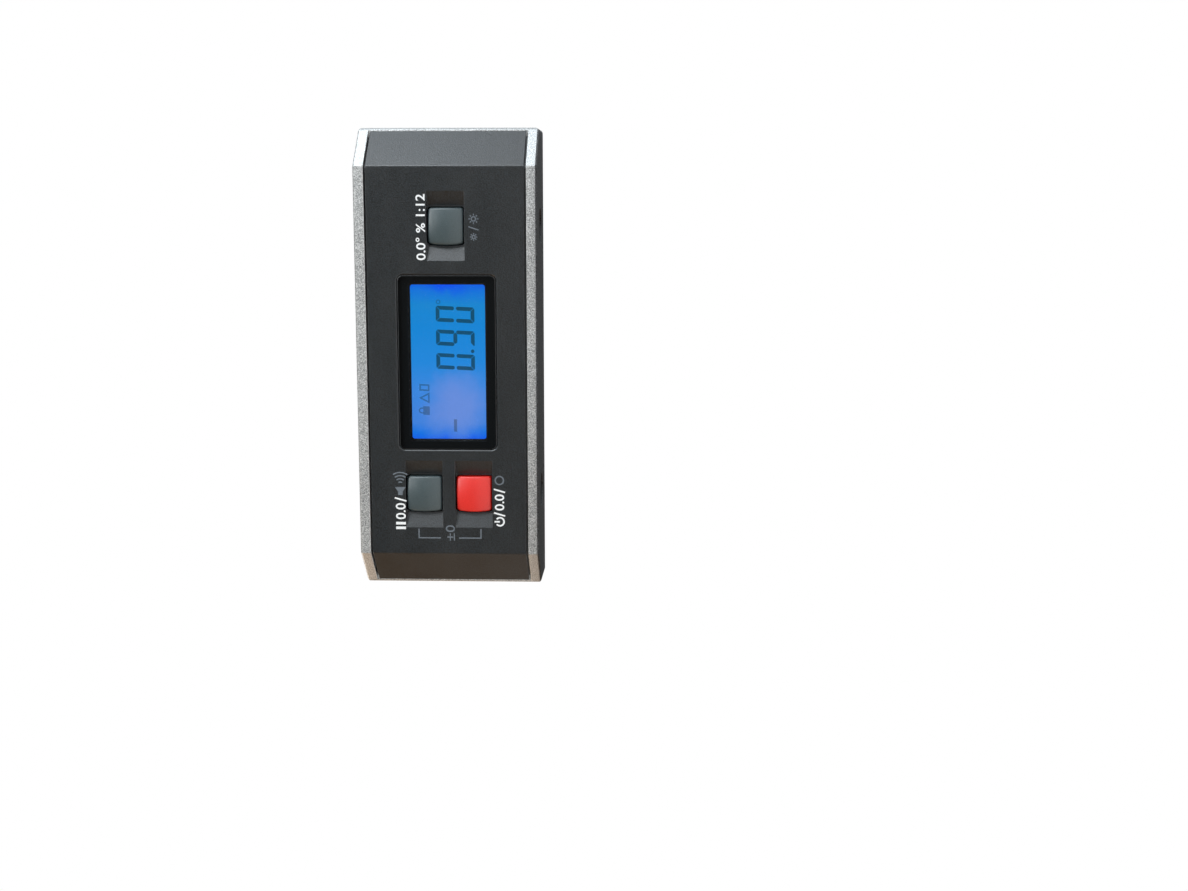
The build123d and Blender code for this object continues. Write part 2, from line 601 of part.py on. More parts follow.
def make_controller_chip():
    """Square chip with a row of bent leads on each side."""
    body_front = BOARD_BACK + CHIP_STAND_OFF
    body_back = body_front + CHIP_HEIGHT
    half = CHIP_SIZE / 2
    chip = block((-half, half), (body_front, body_back), (-half, half))
    middle = (body_front + body_back) / 2
    bend = half + CHIP_LEAD_LENGTH / 2
    toe = half + CHIP_LEAD_LENGTH
    lead_profile = top_view([
        (half - CHIP_LEAD_WIDTH, middle), (bend, middle), (bend, body_front), (toe, body_front),
        (toe, BOARD_BACK), (bend - CHIP_STAND_OFF, BOARD_BACK),
        (bend - CHIP_STAND_OFF, middle - CHIP_STAND_OFF),
        (half - CHIP_LEAD_WIDTH, middle - CHIP_STAND_OFF),
    ])
    first = -CHIP_LEAD_PITCH * (CHIP_LEADS - 1) / 2
    for number in range(CHIP_LEADS):
        z = first + number * CHIP_LEAD_PITCH
        lead = prism(lead_profile, z - CHIP_LEAD_WIDTH / 2, z + CHIP_LEAD_WIDTH / 2)
        for turn in range(4):
            chip += Rot(0, 90 * turn, 0) * lead
    return Pos(CHIP_X, 0, DISPLAY_Z) * chip


def make_tilt_sensor():
    """Metal can of the sensor that measures the angle, on a thin foot."""
    place = Pos(BUZZER_X, DISPLAY_Z + SENSOR_RISE)
    foot_back = BOARD_BACK + CHIP_STAND_OFF
    foot = slab(place * Rectangle(SENSOR_SIZE, SENSOR_SIZE), BOARD_BACK, foot_back)
    can_size = SENSOR_SIZE - 2 * CHIP_STAND_OFF
    can = place * RectangleRounded(can_size, can_size, SENSOR_CORNER)
    return foot + slab(can, foot_back, BOARD_BACK + SENSOR_HEIGHT)


def make_buzzer():
    """Round sounder with a port in the middle of its back."""
    z = DISPLAY_Z - BUZZER_DROP
    can = rod(BUZZER_X, z, BUZZER_RADIUS, BOARD_BACK, BOARD_BACK + BUZZER_HEIGHT)
    can = chamfer(can.faces().sort_by(Axis.Y)[-1].edges(), EDGE_BREAK)
    top = BOARD_BACK + BUZZER_HEIGHT
    return can - rod(BUZZER_X, z, BUZZER_PORT, top - BUZZER_HEIGHT / 2, top + 1)


def make_board_parts():
    """Crystal and a column of small capacitors beside the chip."""
    z = DISPLAY_Z + CHIP_SIZE / 2 + CHIP_LEAD_LENGTH + PART_GAP
    crystal = Pos(CHIP_X, z + CRYSTAL_WIDTH / 2) * SlotOverall(CRYSTAL_LENGTH, CRYSTAL_WIDTH)
    parts = [slab(crystal, BOARD_BACK, BOARD_BACK + CRYSTAL_HEIGHT)]
    low = DISPLAY_Z - CHIP_SIZE / 2 - CHIP_LEAD_LENGTH - PART_GAP
    first = CHIP_X - CAPACITOR_PITCH * (CAPACITOR_COUNT - 1) / 2
    for number in range(CAPACITOR_COUNT):
        place = Pos(first + number * CAPACITOR_PITCH, low - CAPACITOR_LENGTH / 2)
        capacitor = place * Rectangle(CAPACITOR_WIDTH, CAPACITOR_LENGTH)
        parts.append(slab(capacitor, BOARD_BACK, BOARD_BACK + CAPACITOR_HEIGHT))
    return parts


def cell_heights():
    """Heights of the two cells: the upper one points to -X, the lower one to +X."""
    return DISPLAY_Z + CELL_PITCH / 2, DISPLAY_Z - CELL_PITCH / 2


def make_cell(z, side):
    """Small round cell with its raised end against the contact on one side."""
    tip = side * (TUB_HALF - CONTACT_SHEET)
    shoulder = tip - side * NUB_LENGTH
    far_end = tip - side * CELL_LENGTH
    axis_plane = Plane(origin=(far_end, FRONT + CELL_AXIS, z), z_dir=(side, 0, 0))
    body = extrude(axis_plane * Circle(CELL_DIAMETER / 2), amount=abs(shoulder - far_end))
    body = chamfer(body.edges(), CELL_EDGE)
    return body + extrude(axis_plane * Circle(NUB_RADIUS), amount=CELL_LENGTH)


def make_cells():
    """The two cells, side by side and turned opposite ways."""
    upper, lower = cell_heights()
    return [make_cell(upper, -1), make_cell(lower, 1)]


def contact_sheet(z_span, side):
    """Flat contact against an end wall of the compartment."""
    x_span = sorted((side * TUB_HALF, side * (TUB_HALF - CONTACT_SHEET)))
    half = CONTACT_WIDTH / 2
    return block(x_span, (CELL_AXIS - half, CELL_AXIS + half), z_span)


def contact_leaf(z, side):
    """Bowed spring leaf that presses on the flat end of a cell."""
    root = side * (TUB_HALF - CONTACT_SHEET)
    crest = side * (TUB_HALF - CONTACT_SHEET - SPRING_ROOM)
    reach = CONTACT_WIDTH / 2 - CONTACT_SHEET
    bow = ThreePointArc(
        (root, FRONT + CELL_AXIS - reach),
        (crest + side * CONTACT_SHEET / 2, FRONT + CELL_AXIS),
        (root - side * CONTACT_SHEET, FRONT + CELL_AXIS + reach),
    )
    return prism(trace(bow, CONTACT_SHEET), z - LEAF_WIDTH / 2, z + LEAF_WIDTH / 2)


def tail_block(z, front, back, grow=0.0):
    """Solder tail of a terminal, through the compartment's floor and the board."""
    x_span = (-TUB_HALF - grow, -TUB_HALF + CONTACT_SHEET + grow)
    half = TAIL_WIDTH / 2 + grow
    return block(x_span, (front, back), (z - half, z + half))


def make_terminal(z):
    """Sheet and tail of one terminal at the board's end of the compartment."""
    half = CONTACT_WIDTH / 2
    sheet = contact_sheet((z - half, z + half), -1)
    return sheet + tail_block(z, BOARD_FRONT - CONTACT_SHEET, CELL_AXIS)


def make_positive_contact():
    """Flat terminal for the raised end of the upper cell."""
    return make_terminal(cell_heights()[0])


def make_negative_contact():
    """Terminal with a spring leaf for the flat end of the lower cell."""
    lower = cell_heights()[1]
    return make_terminal(lower) + contact_leaf(lower, -1)


def make_bridge_contact():
    """Contact that joins the two cells at the far end."""
    upper, lower = cell_heights()
    half = CONTACT_WIDTH / 2
    return contact_sheet((lower - half, upper + half), 1) + contact_leaf(upper, 1)


def contact_slots():
    """Slots in the tub for the tails of the two terminals and for the middle of the bridge."""
    slots = [tail_block(z, TUB_FRONT - 1, CELL_AXIS, HOLE_CLEARANCE) for z in cell_heights()]
    bridge_x = (TUB_HALF - CONTACT_SHEET - HOLE_CLEARANCE, TUB_HALF)
    bridge_front = CELL_AXIS - CONTACT_WIDTH / 2 - HOLE_CLEARANCE
    upper, lower = cell_heights()
    slots.append(block(bridge_x, (bridge_front, CELL_AXIS), (lower, upper)))
    return slots


def tab_heights():
    """Heights of the two tabs at the hinged end of the door."""
    return DISPLAY_Z - TAB_SPACING / 2, DISPLAY_Z + TAB_SPACING / 2


def tab_pockets():
    """Room in the tub's end wall for the door's tabs to swing in."""
    pockets = []
    for z in tab_heights():
        half = TAB_WIDTH / 2 + DOOR_FIT
        pocket_x = (-TUB_OUTER_HALF - 1, -TUB_HALF)
        pockets.append(block(pocket_x, (TAB_FRONT - TAB_ROOM, BACK_SEAT), (z - half, z + half)))
    return pockets


def latch_pocket():
    """Room for the door's latch beside the tub's other end wall."""
    half = LATCH_WIDTH / 2 + DOOR_FIT
    pocket_x = (TUB_HALF, OPENING_HALF)
    pocket_front = DOOR_FRONT - LATCH_HOOK_DEPTH - TAB_DROP
    return block(pocket_x, (pocket_front, DEPTH), (DISPLAY_Z - half, DISPLAY_Z + half))


def thumb_dip():
    """Shallow round dip beside the latch, for a thumbnail."""
    axis_y = FRONT + DEPTH + THUMB_RADIUS - THUMB_DEPTH
    dip = Pos(OPENING_HALF, axis_y) * Circle(THUMB_RADIUS)
    return prism(dip, DISPLAY_Z - LATCH_WIDTH / 2, DISPLAY_Z + LATCH_WIDTH / 2)


def sound_slits():
    """Row of slits over the buzzer."""
    slits = []
    first = BUZZER_X - SOUND_SLIT_PITCH * (SOUND_SLIT_COUNT - 1) / 2
    for number in range(SOUND_SLIT_COUNT):
        place = Pos(first + number * SOUND_SLIT_PITCH, DISPLAY_Z - BUZZER_DROP)
        slit = place * Rectangle(SOUND_SLIT_WIDTH, SOUND_SLIT_LENGTH)
        slits.append(slab(slit, BACK_SEAT - 1, DEPTH + 1))
    return slits


def make_back_cover():
    """Back wall with the battery tub, screw wells, sound slits and a thumb dip at the door."""
    wall_outline = Pos(0, HEIGHT / 2) * RectangleRounded(
        LENGTH - 2 * BACK_RIM - 2 * COVER_FIT,
        HEIGHT - 2 * PLATE_WALL - 2 * COVER_FIT,
        CORNER_RADIUS,
    )
    cover = slab(wall_outline, BACK_SEAT, DEPTH)
    tub_z = (DISPLAY_Z - TUB_OUTER_RISE, DISPLAY_Z + TUB_OUTER_RISE)
    cover += block((-TUB_OUTER_HALF, TUB_OUTER_HALF), (TUB_FRONT, BACK_SEAT + BACK_WALL / 2), tub_z)
    for x, z in corners(SCREW_X, SCREW_SPACING):
        cover += rod(x, z, SCREW_HEAD_RADIUS + SCREW_CLEARANCE + WELL_WALL, BOSS_DEPTH, DEPTH)
    for side in (-1, 1):
        for z in (DISPLAY_Z - RIB_SPACING / 2, DISPLAY_Z + RIB_SPACING / 2):
            span = sorted((side * TUB_OUTER_HALF, side * (SCREW_X - RIB_END_ROOM)))
            rib_z = (z - RIB_WALL / 2, z + RIB_WALL / 2)
            cover += block(span, (BACK_SEAT - RIB_HEIGHT, BACK_SEAT + BACK_WALL / 2), rib_z)

    room_z = (DISPLAY_Z - TUB_RISE, DISPLAY_Z + TUB_RISE)
    cover -= block((-TUB_HALF, TUB_HALF), (CELL_AXIS, DEPTH), room_z)
    for z in cell_heights():
        trough_plane = Plane(origin=(-TUB_HALF, FRONT + CELL_AXIS, z), z_dir=(1, 0, 0))
        cover -= extrude(trough_plane * Circle(CELL_DIAMETER / 2 + CELL_FIT), amount=2 * TUB_HALF)
    opening = RectangleRounded(2 * OPENING_HALF, 2 * OPENING_RISE, DOOR_CORNER + DOOR_FIT)
    cover -= slab(Pos(0, DISPLAY_Z) * opening, BACK_SEAT, DEPTH + 1)
    cover -= contact_slots()
    cover -= tab_pockets()
    cover -= latch_pocket()
    cover -= thumb_dip()
    for x, z in corners(SCREW_X, SCREW_SPACING):
        cover -= rod(x, z, SCREW_RADIUS + HOLE_CLEARANCE, BOSS_DEPTH - 1, DEPTH)
        cover -= rod(x, z, SCREW_HEAD_RADIUS + SCREW_CLEARANCE, SCREW_HEAD_FRONT, DEPTH + 1)
    return cover - sound_slits()


def make_door():
    """Battery door: two tabs at its hinged end, a latch tongue and grip grooves at the other."""
    half = OPENING_HALF - DOOR_FIT
    rise = OPENING_RISE - DOOR_FIT
    plate = Pos(0, DISPLAY_Z) * RectangleRounded(2 * half, 2 * rise, DOOR_CORNER)
    door = slab(plate, DOOR_FRONT, DEPTH)
    for z in tab_heights():
        tab_z = (z - TAB_WIDTH / 2, z + TAB_WIDTH / 2)
        door += block((-half, -half + TAB_ROOT), (TAB_FRONT, DOOR_FRONT), tab_z)
        tab_x = (-OPENING_HALF - TAB_LENGTH, -half)
        door += block(tab_x, (TAB_FRONT, TAB_FRONT + TAB_THICKNESS), tab_z)
    tongue_half = LATCH_WIDTH / 2
    for low in (DISPLAY_Z - tongue_half - LATCH_SLOT, DISPLAY_Z + tongue_half):
        slot_x = (half - LATCH_LENGTH, half + 1)
        door -= block(slot_x, (DOOR_FRONT - 1, DEPTH + 1), (low, low + LATCH_SLOT))
    hook_z = (DISPLAY_Z - tongue_half, DISPLAY_Z + tongue_half)
    door += block((half - LATCH_HOOK, half), (DOOR_FRONT - LATCH_HOOK_DEPTH, DOOR_FRONT), hook_z)
    first = half - LATCH_LENGTH - GRIP_COUNT * GRIP_PITCH
    groove = Rectangle(GRIP_WIDTH, GRIP_LENGTH)
    for number in range(GRIP_COUNT):
        place = Pos(first + number * GRIP_PITCH, DISPLAY_Z)
        door -= slab(place * groove, DEPTH - GRIP_DEPTH, DEPTH + 1)
    return door


def make_door_pad():
    """Foam strip on the door that keeps the cells from rattling."""
    return slab(Pos(0, DISPLAY_Z) * Rectangle(PAD_LENGTH, PAD_HEIGHT), PAD_FRONT, DOOR_FRONT)


def make_cover_screws():
    """Screws through the back cover's wells into the front cover's bosses."""
    screws = []
    for x, z in corners(SCREW_X, SCREW_SPACING):
        shank = rod(x, z, SCREW_RADIUS, BOSS_DEPTH - SCREW_REACH, SCREW_HEAD_FRONT)
        head = rod(x, z, SCREW_HEAD_RADIUS, SCREW_HEAD_FRONT, SCREW_HEAD_FRONT + SCREW_HEAD)
        screws.append(shank + head)
    return screws


def make_pieces():
    """Every separate piece of the level by its node name."""
    pieces = {
        "frame": make_frame(),
        "base_magnets": make_magnets(),
        "front_cover": make_front_cover(),
        "display_window": make_window(),
        "window_mask": make_window_mask(),
        "lcd_glass": make_lcd_glass(),
        "lcd_backlight": make_light_guide(),
        "backlight_leds": make_backlight_leds(),
        "lcd_holder": make_lcd_holder(),
        "zebra_strip": make_zebra_strip(),
        "main_board": make_main_board(),
        "board_screws": make_board_screws(),
        "controller_chip": make_controller_chip(),
        "tilt_sensor": make_tilt_sensor(),
        "buzzer": make_buzzer(),
        "board_parts": make_board_parts(),
        "switch_bodies": at_buttons(make_switch_body()),
        "switch_plates": at_buttons(make_switch_plate()),
        "battery_cells": make_cells(),
        "positive_contact": make_positive_contact(),
        "negative_contact": make_negative_contact(),
        "bridge_contact": make_bridge_contact(),
        "back_cover": make_back_cover(),
        "battery_door": make_door(),
        "door_pad": make_door_pad(),
        "cover_screws": make_cover_screws(),
    }
    cap = make_cap(PLUNGER_FRONT)
    plunger = make_plunger()
    for name, (x, z) in BUTTON_PLACES.items():
        pieces[name + "_button"] = Pos(x, 0, z) * cap
        pieces[name + "_plunger"] = Pos(x, 0, z) * plunger
    return pieces


os.makedirs("parts", exist_ok=True)
for node, shape in make_pieces().items():
    solids = shape if isinstance(shape, list) else [shape]
    export_step(Compound(children=solids), "parts/" + node + ".step")
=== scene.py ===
# %% [markdown]
# # Dressing a pocket digital level
#
# The level is a bead-blasted aluminium ring with a black moulded cover, a backlit display and
# three buttons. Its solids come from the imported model, so every size and place is already right.
# This script gives them their surfaces, adds the small things that solids leave out, such as the
# printed marks and the display's segments, and sets up a plain studio round them.

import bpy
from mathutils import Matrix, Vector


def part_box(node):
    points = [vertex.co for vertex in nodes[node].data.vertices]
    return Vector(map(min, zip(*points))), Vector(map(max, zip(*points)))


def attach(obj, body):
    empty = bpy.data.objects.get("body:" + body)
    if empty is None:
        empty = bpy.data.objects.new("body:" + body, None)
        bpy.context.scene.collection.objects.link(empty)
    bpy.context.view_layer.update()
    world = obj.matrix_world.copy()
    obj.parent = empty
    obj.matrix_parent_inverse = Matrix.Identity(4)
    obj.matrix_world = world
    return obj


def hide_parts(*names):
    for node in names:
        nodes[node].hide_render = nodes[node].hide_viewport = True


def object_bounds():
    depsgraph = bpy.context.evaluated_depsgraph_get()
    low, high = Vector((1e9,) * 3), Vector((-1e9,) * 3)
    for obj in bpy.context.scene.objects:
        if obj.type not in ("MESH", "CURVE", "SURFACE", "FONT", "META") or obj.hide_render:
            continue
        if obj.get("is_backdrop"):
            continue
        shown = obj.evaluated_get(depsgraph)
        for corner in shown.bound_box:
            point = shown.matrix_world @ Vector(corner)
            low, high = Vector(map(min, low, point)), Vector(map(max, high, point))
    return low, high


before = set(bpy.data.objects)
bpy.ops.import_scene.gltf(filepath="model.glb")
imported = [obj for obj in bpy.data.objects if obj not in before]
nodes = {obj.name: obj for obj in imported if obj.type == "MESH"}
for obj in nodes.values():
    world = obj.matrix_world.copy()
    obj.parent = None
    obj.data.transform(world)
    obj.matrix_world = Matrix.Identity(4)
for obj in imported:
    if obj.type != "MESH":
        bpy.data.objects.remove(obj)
cad_low, cad_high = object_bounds()

# %% Import what Blender needs
import math

import bmesh
import bpy
from mathutils import Matrix, Vector

scene = bpy.context.scene
MM = 0.001
print("size in mm:", [round(side / MM, 2) for side in cad_high - cad_low])

# %% [markdown]
# ## Places on the level
#
# All pieces are drawn in millimetres: x along the level, z up from its base, and a depth behind
# the front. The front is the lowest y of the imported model. One helper turns such a place into
# Blender's metres, so that no other line has to.

# %% Turn millimetres and depth into a point
FRONT = cad_low.y


def at(x, depth, z):
    """A point in metres from a place along the level, a depth behind its front and a height."""
    return Vector((x * MM, FRONT + depth * MM, z * MM))


COVER_FACE = (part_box("front_cover")[0].y - FRONT) / MM
print("depth of the cover's face in mm:", round(COVER_FACE, 3))

# %% [markdown]
# ## Shader helpers
#
# A colour is easiest to judge as it looks on a screen, from 0 to 255, but shaders count in light.
# `shade` converts between the two. `add` puts a node in a tree, sets its options and fills its
# sockets, and links a socket where it is given one instead of a number.

# %% Convert a screen colour and add a node
def shade(red, green, blue):
    """A screen colour from 0 to 255 as the linear colour that shaders use."""
    parts = [part / 255 for part in (red, green, blue)]
    linear = [part / 12.92 if part <= 0.04045 else ((part + 0.055) / 1.055) ** 2.4 for part in parts]
    return (*linear, 1.0)


def add(tree, kind, sockets=None, **options):
    """Add a node; a socket given as the value of another socket is linked."""
    made = tree.nodes.new(kind)
    for option, value in options.items():
        setattr(made, option, value)
    for socket, value in (sockets or {}).items():
        if isinstance(value, bpy.types.NodeSocket):
            tree.links.new(value, made.inputs[socket])
        else:
            made.inputs[socket].default_value = value
    return made


print("light grey 200 in linear light:", round(shade(200, 200, 200)[0], 3))

# %% [markdown]
# ## Node groups for what several finishes share
#
# Fine grain, lighter edges and handling marks turn up on metal and plastic alike, at other sizes and
# strengths; the lighter edges are partly wear and partly a painted highlight. Each is built once as
# a node group with named inputs, so a material only says how large and how strong. The groups give
# out numbers and normals; the shader stays in the material.

# %% Start a node group
def new_group(name, inputs, output_name="Value", output_kind="NodeSocketFloat"):
    """Make a node group with number inputs and one output, and return its two ends."""
    group = bpy.data.node_groups.new(name, "ShaderNodeTree")
    for title, value in inputs.items():
        socket = group.interface.new_socket(title, in_out="INPUT", socket_type="NodeSocketFloat")
        socket.default_value = value
    group.interface.new_socket(output_name, in_out="OUTPUT", socket_type=output_kind)
    source = group.nodes.new("NodeGroupInput").outputs
    target = group.nodes.new("NodeGroupOutput").inputs
    return group, source, target


def scaled_place(tree, size, stretch=(1, 1, 1)):
    """Object coordinates divided by a size, so that one unit is one grain."""
    coordinates = add(tree, "ShaderNodeTexCoord").outputs["Object"]
    factor = add(tree, "ShaderNodeMath", {0: 1.0, 1: size}, operation="DIVIDE").outputs[0]
    stretched = add(tree, "ShaderNodeVectorMath", {0: coordinates, 1: stretch}, operation="MULTIPLY")
    grown = add(tree, "ShaderNodeVectorMath", {0: stretched.outputs[0]}, operation="SCALE")
    tree.links.new(factor, grown.inputs["Scale"])
    return grown.outputs[0]


print("group helpers:", new_group.__name__, scaled_place.__name__)

# %% [markdown]
# Grain is the texture left by blasting, spark erosion or a filler in plastic. Noise gives it soft
# irregular grains, and a narrow range lifts the contrast so that single grains can be told apart.

# %% Group: fine grain
GRAIN, source, target = new_group("fine grain", {"Size": 0.0002, "Detail": 2.0, "Spread": 0.2})
noise = add(GRAIN, "ShaderNodeTexNoise", {
    "Vector": scaled_place(GRAIN, source["Size"]), "Scale": 1.0, "Detail": source["Detail"],
    "Roughness": 0.6,
})
low = add(GRAIN, "ShaderNodeMath", {0: 0.5, 1: source["Spread"]}, operation="SUBTRACT").outputs[0]
high = add(GRAIN, "ShaderNodeMath", {0: 0.5, 1: source["Spread"]}, operation="ADD").outputs[0]
spread = add(GRAIN, "ShaderNodeMapRange", {
    "Value": noise.outputs["Fac"], "From Min": low, "From Max": high,
})
GRAIN.links.new(spread.outputs["Result"], target["Value"])
print("group:", GRAIN.name)

# %% [markdown]
# Edges wear first, and their tiny round catches the light. A bevelled normal turns away from the
# face's own normal only near an edge, so the difference between the two is a mask of the edges.
# The lighter colour laid on that mask is partly wear and partly a painted highlight. Noise breaks it
# into patches, because a line of wear that is even all the way round looks painted.

# %% Group: edge wear and painted highlight
WEAR_AND_HIGHLIGHT, source, target = new_group("edge wear", {"Radius": 0.0003, "Amount": 3.0, "Patch": 0.003})
bevel = add(WEAR_AND_HIGHLIGHT, "ShaderNodeBevel", {"Radius": source["Radius"]}, samples=4)
face = add(WEAR_AND_HIGHLIGHT, "ShaderNodeNewGeometry").outputs["Normal"]
same = add(WEAR_AND_HIGHLIGHT, "ShaderNodeVectorMath", {0: bevel.outputs["Normal"], 1: face},
           operation="DOT_PRODUCT").outputs["Value"]
turned = add(WEAR_AND_HIGHLIGHT, "ShaderNodeMath", {0: 1.0, 1: same}, operation="SUBTRACT").outputs[0]
raised = add(WEAR_AND_HIGHLIGHT, "ShaderNodeMath", {0: turned, 1: source["Amount"]}, operation="MULTIPLY").outputs[0]
patches = add(WEAR_AND_HIGHLIGHT, "ShaderNodeTexNoise", {
    "Vector": scaled_place(WEAR_AND_HIGHLIGHT, source["Patch"]), "Scale": 1.0, "Detail": 4.0,
})
broken = add(WEAR_AND_HIGHLIGHT, "ShaderNodeMapRange", {
    "Value": patches.outputs["Fac"], "From Min": 0.3, "From Max": 0.65, "To Min": 0.35, "To Max": 1.0,
})
mask = add(WEAR_AND_HIGHLIGHT, "ShaderNodeMath", {0: raised, 1: broken.outputs["Result"]}, operation="MULTIPLY",
           use_clamp=True)
WEAR_AND_HIGHLIGHT.links.new(mask.outputs[0], target["Value"])
print("group:", WEAR_AND_HIGHLIGHT.name)

# %% [markdown]
# No moulded or machined edge is truly sharp, and its tiny round catches the light as a thin line.
# The same bevelled normal, used as the surface's own, gives that line without a single extra face.

# %% Group: soft edges
SOFT, source, target = new_group("soft edges", {"Radius": 0.0002}, "Normal", "NodeSocketVector")
rounded = add(SOFT, "ShaderNodeBevel", {"Radius": source["Radius"]}, samples=6)
SOFT.links.new(rounded.outputs["Normal"], target["Normal"])
print("group:", SOFT.name)

# %% [markdown]
# Fingers leave a faint unevenness in the shine, much wider than the grain and drawn out along the
# level, since it is wiped that way. Stretched noise gives it, and it feeds roughness only.

# %% Group: handling marks
MARKS, source, target = new_group("handling marks", {"Size": 0.012, "Low": 0.45, "High": 0.55})
cloud = add(MARKS, "ShaderNodeTexNoise", {
    "Vector": scaled_place(MARKS, source["Size"], (0.5, 1.0, 1.4)), "Scale": 1.0, "Detail": 5.0,
    "Roughness": 0.55, "Distortion": 0.6,
})
rough = add(MARKS, "ShaderNodeMapRange", {
    "Value": cloud.outputs["Fac"], "From Min": 0.3, "From Max": 0.7,
    "To Min": source["Low"], "To Max": source["High"],
})
MARKS.links.new(rough.outputs["Result"], target["Value"])
print("group:", MARKS.name)

# %% [markdown]
# ## One recipe for most finishes
#
# Moulded plastic, blasted metal, rubber and board lacquer differ in colour, shine and grain, but
# are made the same way: two close colours mixed by grain, a lighter colour at the edges that is
# partly wear and partly a painted highlight, a roughness that wanders, and a bump of the same grain.
# Numbers that don't change over the surface go straight on the shader's own sockets.

# %% Place a group and build a finish
def place(tree, group, sockets):
    """Put a node group in a material with its own values and return its output."""
    holder = tree.nodes.new("ShaderNodeGroup")
    holder.node_tree = group
    for socket, value in sockets.items():
        holder.inputs[socket].default_value = value
    return holder.outputs[0]


def blend(tree, factor, first, second):
    """Mix two colours by a factor and return the mixed colour."""
    mix = add(tree, "ShaderNodeMix", data_type="RGBA")
    tree.links.new(factor, mix.inputs["Factor"])
    for socket, value in ((6, first), (7, second)):
        if isinstance(value, bpy.types.NodeSocket):
            tree.links.new(value, mix.inputs[socket])
        else:
            mix.inputs[socket].default_value = value
    return mix.outputs[2]


def new_finish(name, sockets=None):
    """An empty material with one shader, and the values that are the same all over."""
    finish = bpy.data.materials.new(name)
    finish.use_nodes = True
    shader = finish.node_tree.nodes["Principled BSDF"]
    for socket, value in (sockets or {}).items():
        shader.inputs[socket].default_value = value
    return finish, finish.node_tree, shader


def grained(name, dark, light, roughness, grain, spread=0.2, bump=0.0, wear_and_highlight=None, sockets=None,
            soft=0.0):
    """A finish of two grained colours, with a wandering roughness, bump and soft edges, painted
    lighter for wear and as a highlight.
    """
    finish, tree, shader = new_finish(name, sockets)
    speck = place(tree, GRAIN, {"Size": grain * MM, "Spread": spread})
    colour = blend(tree, speck, dark, light)
    # The lighter edge colour is partly wear and partly a painted highlight where a rounded edge would
    # catch a lamp.
    if wear_and_highlight:
        wear_and_highlight_colour, radius, amount = wear_and_highlight
        edges = place(tree, WEAR_AND_HIGHLIGHT, {"Radius": radius * MM, "Amount": amount})
        colour = blend(tree, edges, colour, wear_and_highlight_colour)
    tree.links.new(colour, shader.inputs["Base Color"])
    shine = place(tree, MARKS, {"Low": roughness[0], "High": roughness[1]})
    tree.links.new(shine, shader.inputs["Roughness"])
    if bump:
        relief = add(tree, "ShaderNodeBump", {"Strength": 1.0, "Distance": bump * MM, "Height": speck})
        tree.links.new(relief.outputs["Normal"], shader.inputs["Normal"])
        if soft:
            tree.links.new(place(tree, SOFT, {"Radius": soft * MM}), relief.inputs["Normal"])
    return finish


print("recipe:", grained.__name__, "uses", [group.name for group in (GRAIN, WEAR_AND_HIGHLIGHT, SOFT, MARKS)])

# %% [markdown]
# ## Aluminium
#
# The ring is extruded and machined, then blasted with fine beads and anodised in its natural
# colour. That leaves a matt silver with a visible sparkle of light and dark grains. The edges, which
# are broken after blasting, are painted lighter, partly for that bared metal and partly as a painted
# highlight. Colour and bump share one grain here, so a raised grain is also a light one, as on the
# real surface.

# %% Finish: blasted aluminium
aluminium = grained(
    "blasted_aluminium", shade(134, 136, 137), shade(237, 238, 237), (0.46, 0.54), 0.2, 0.16, 0.007,
    (shade(240, 241, 240), 0.25, 2.0), {"Metallic": 1.0}, 0.2,
)
print("finish:", aluminium.name)

# %% [markdown]
# ## Moulded plastics
#
# The front cover comes from a spark-eroded mould: charcoal, dry to the touch, with a texture finer
# than half a millimetre. The caps have a finer one and are lighter, and the red one is coloured
# right through. A raised specular level gives the slopes their sheen where they face a lamp, while
# the colours themselves stay nearly black.

# %% Finishes: cover, caps and the plastic inside
# Its pale edge colour is partly wear and partly a painted highlight along the rims of its holes and
# slopes.
cover_plastic = grained(
    "charcoal_plastic", shade(1, 2, 2), shade(27, 34, 38), (0.27, 0.35), 0.28, 0.09, 0.011,
    (shade(80, 86, 92), 0.18, 1.4), {"Specular IOR Level": 0.85}, 0.18,
)
# The caps' pale edge colours are partly wear and partly a painted highlight along their rims.
cap_grey = grained(
    "grey_cap_plastic", shade(58, 70, 73), shade(75, 88, 91), (0.28, 0.36), 0.12, 0.2, 0.006,
    (shade(120, 130, 133), 0.2, 0.8), {"Specular IOR Level": 0.7},
)
cap_red = grained(
    "red_cap_plastic", shade(216, 36, 30), shade(234, 54, 46), (0.28, 0.36), 0.12, 0.2, 0.006,
    (shade(246, 120, 110), 0.2, 0.8), {"Specular IOR Level": 0.7},
)
inner_plastic = grained(
    "inner_plastic", shade(30, 31, 33), shade(42, 43, 45), (0.5, 0.6), 0.3, 0.2, 0.01,
    None, {"Specular IOR Level": 0.4},
)
frame_black = grained(
    "display_frame_black", shade(9, 11, 13), shade(15, 18, 20), (0.6, 0.7), 0.3, 0.2, 0.01,
    None, {"Specular IOR Level": 0.15},
)
print("finishes:", cover_plastic.name, cap_grey.name, cap_red.name, inner_plastic.name)

# %% [markdown]
# ## Metals and materials inside
#
# Little of the inside shows, but the door opens on the cells and their contacts, and the model can
# be taken apart. Springs and contacts are nickel plated, screws are blackened steel, the board is
# lacquered green, and the foam strip is soft and open.

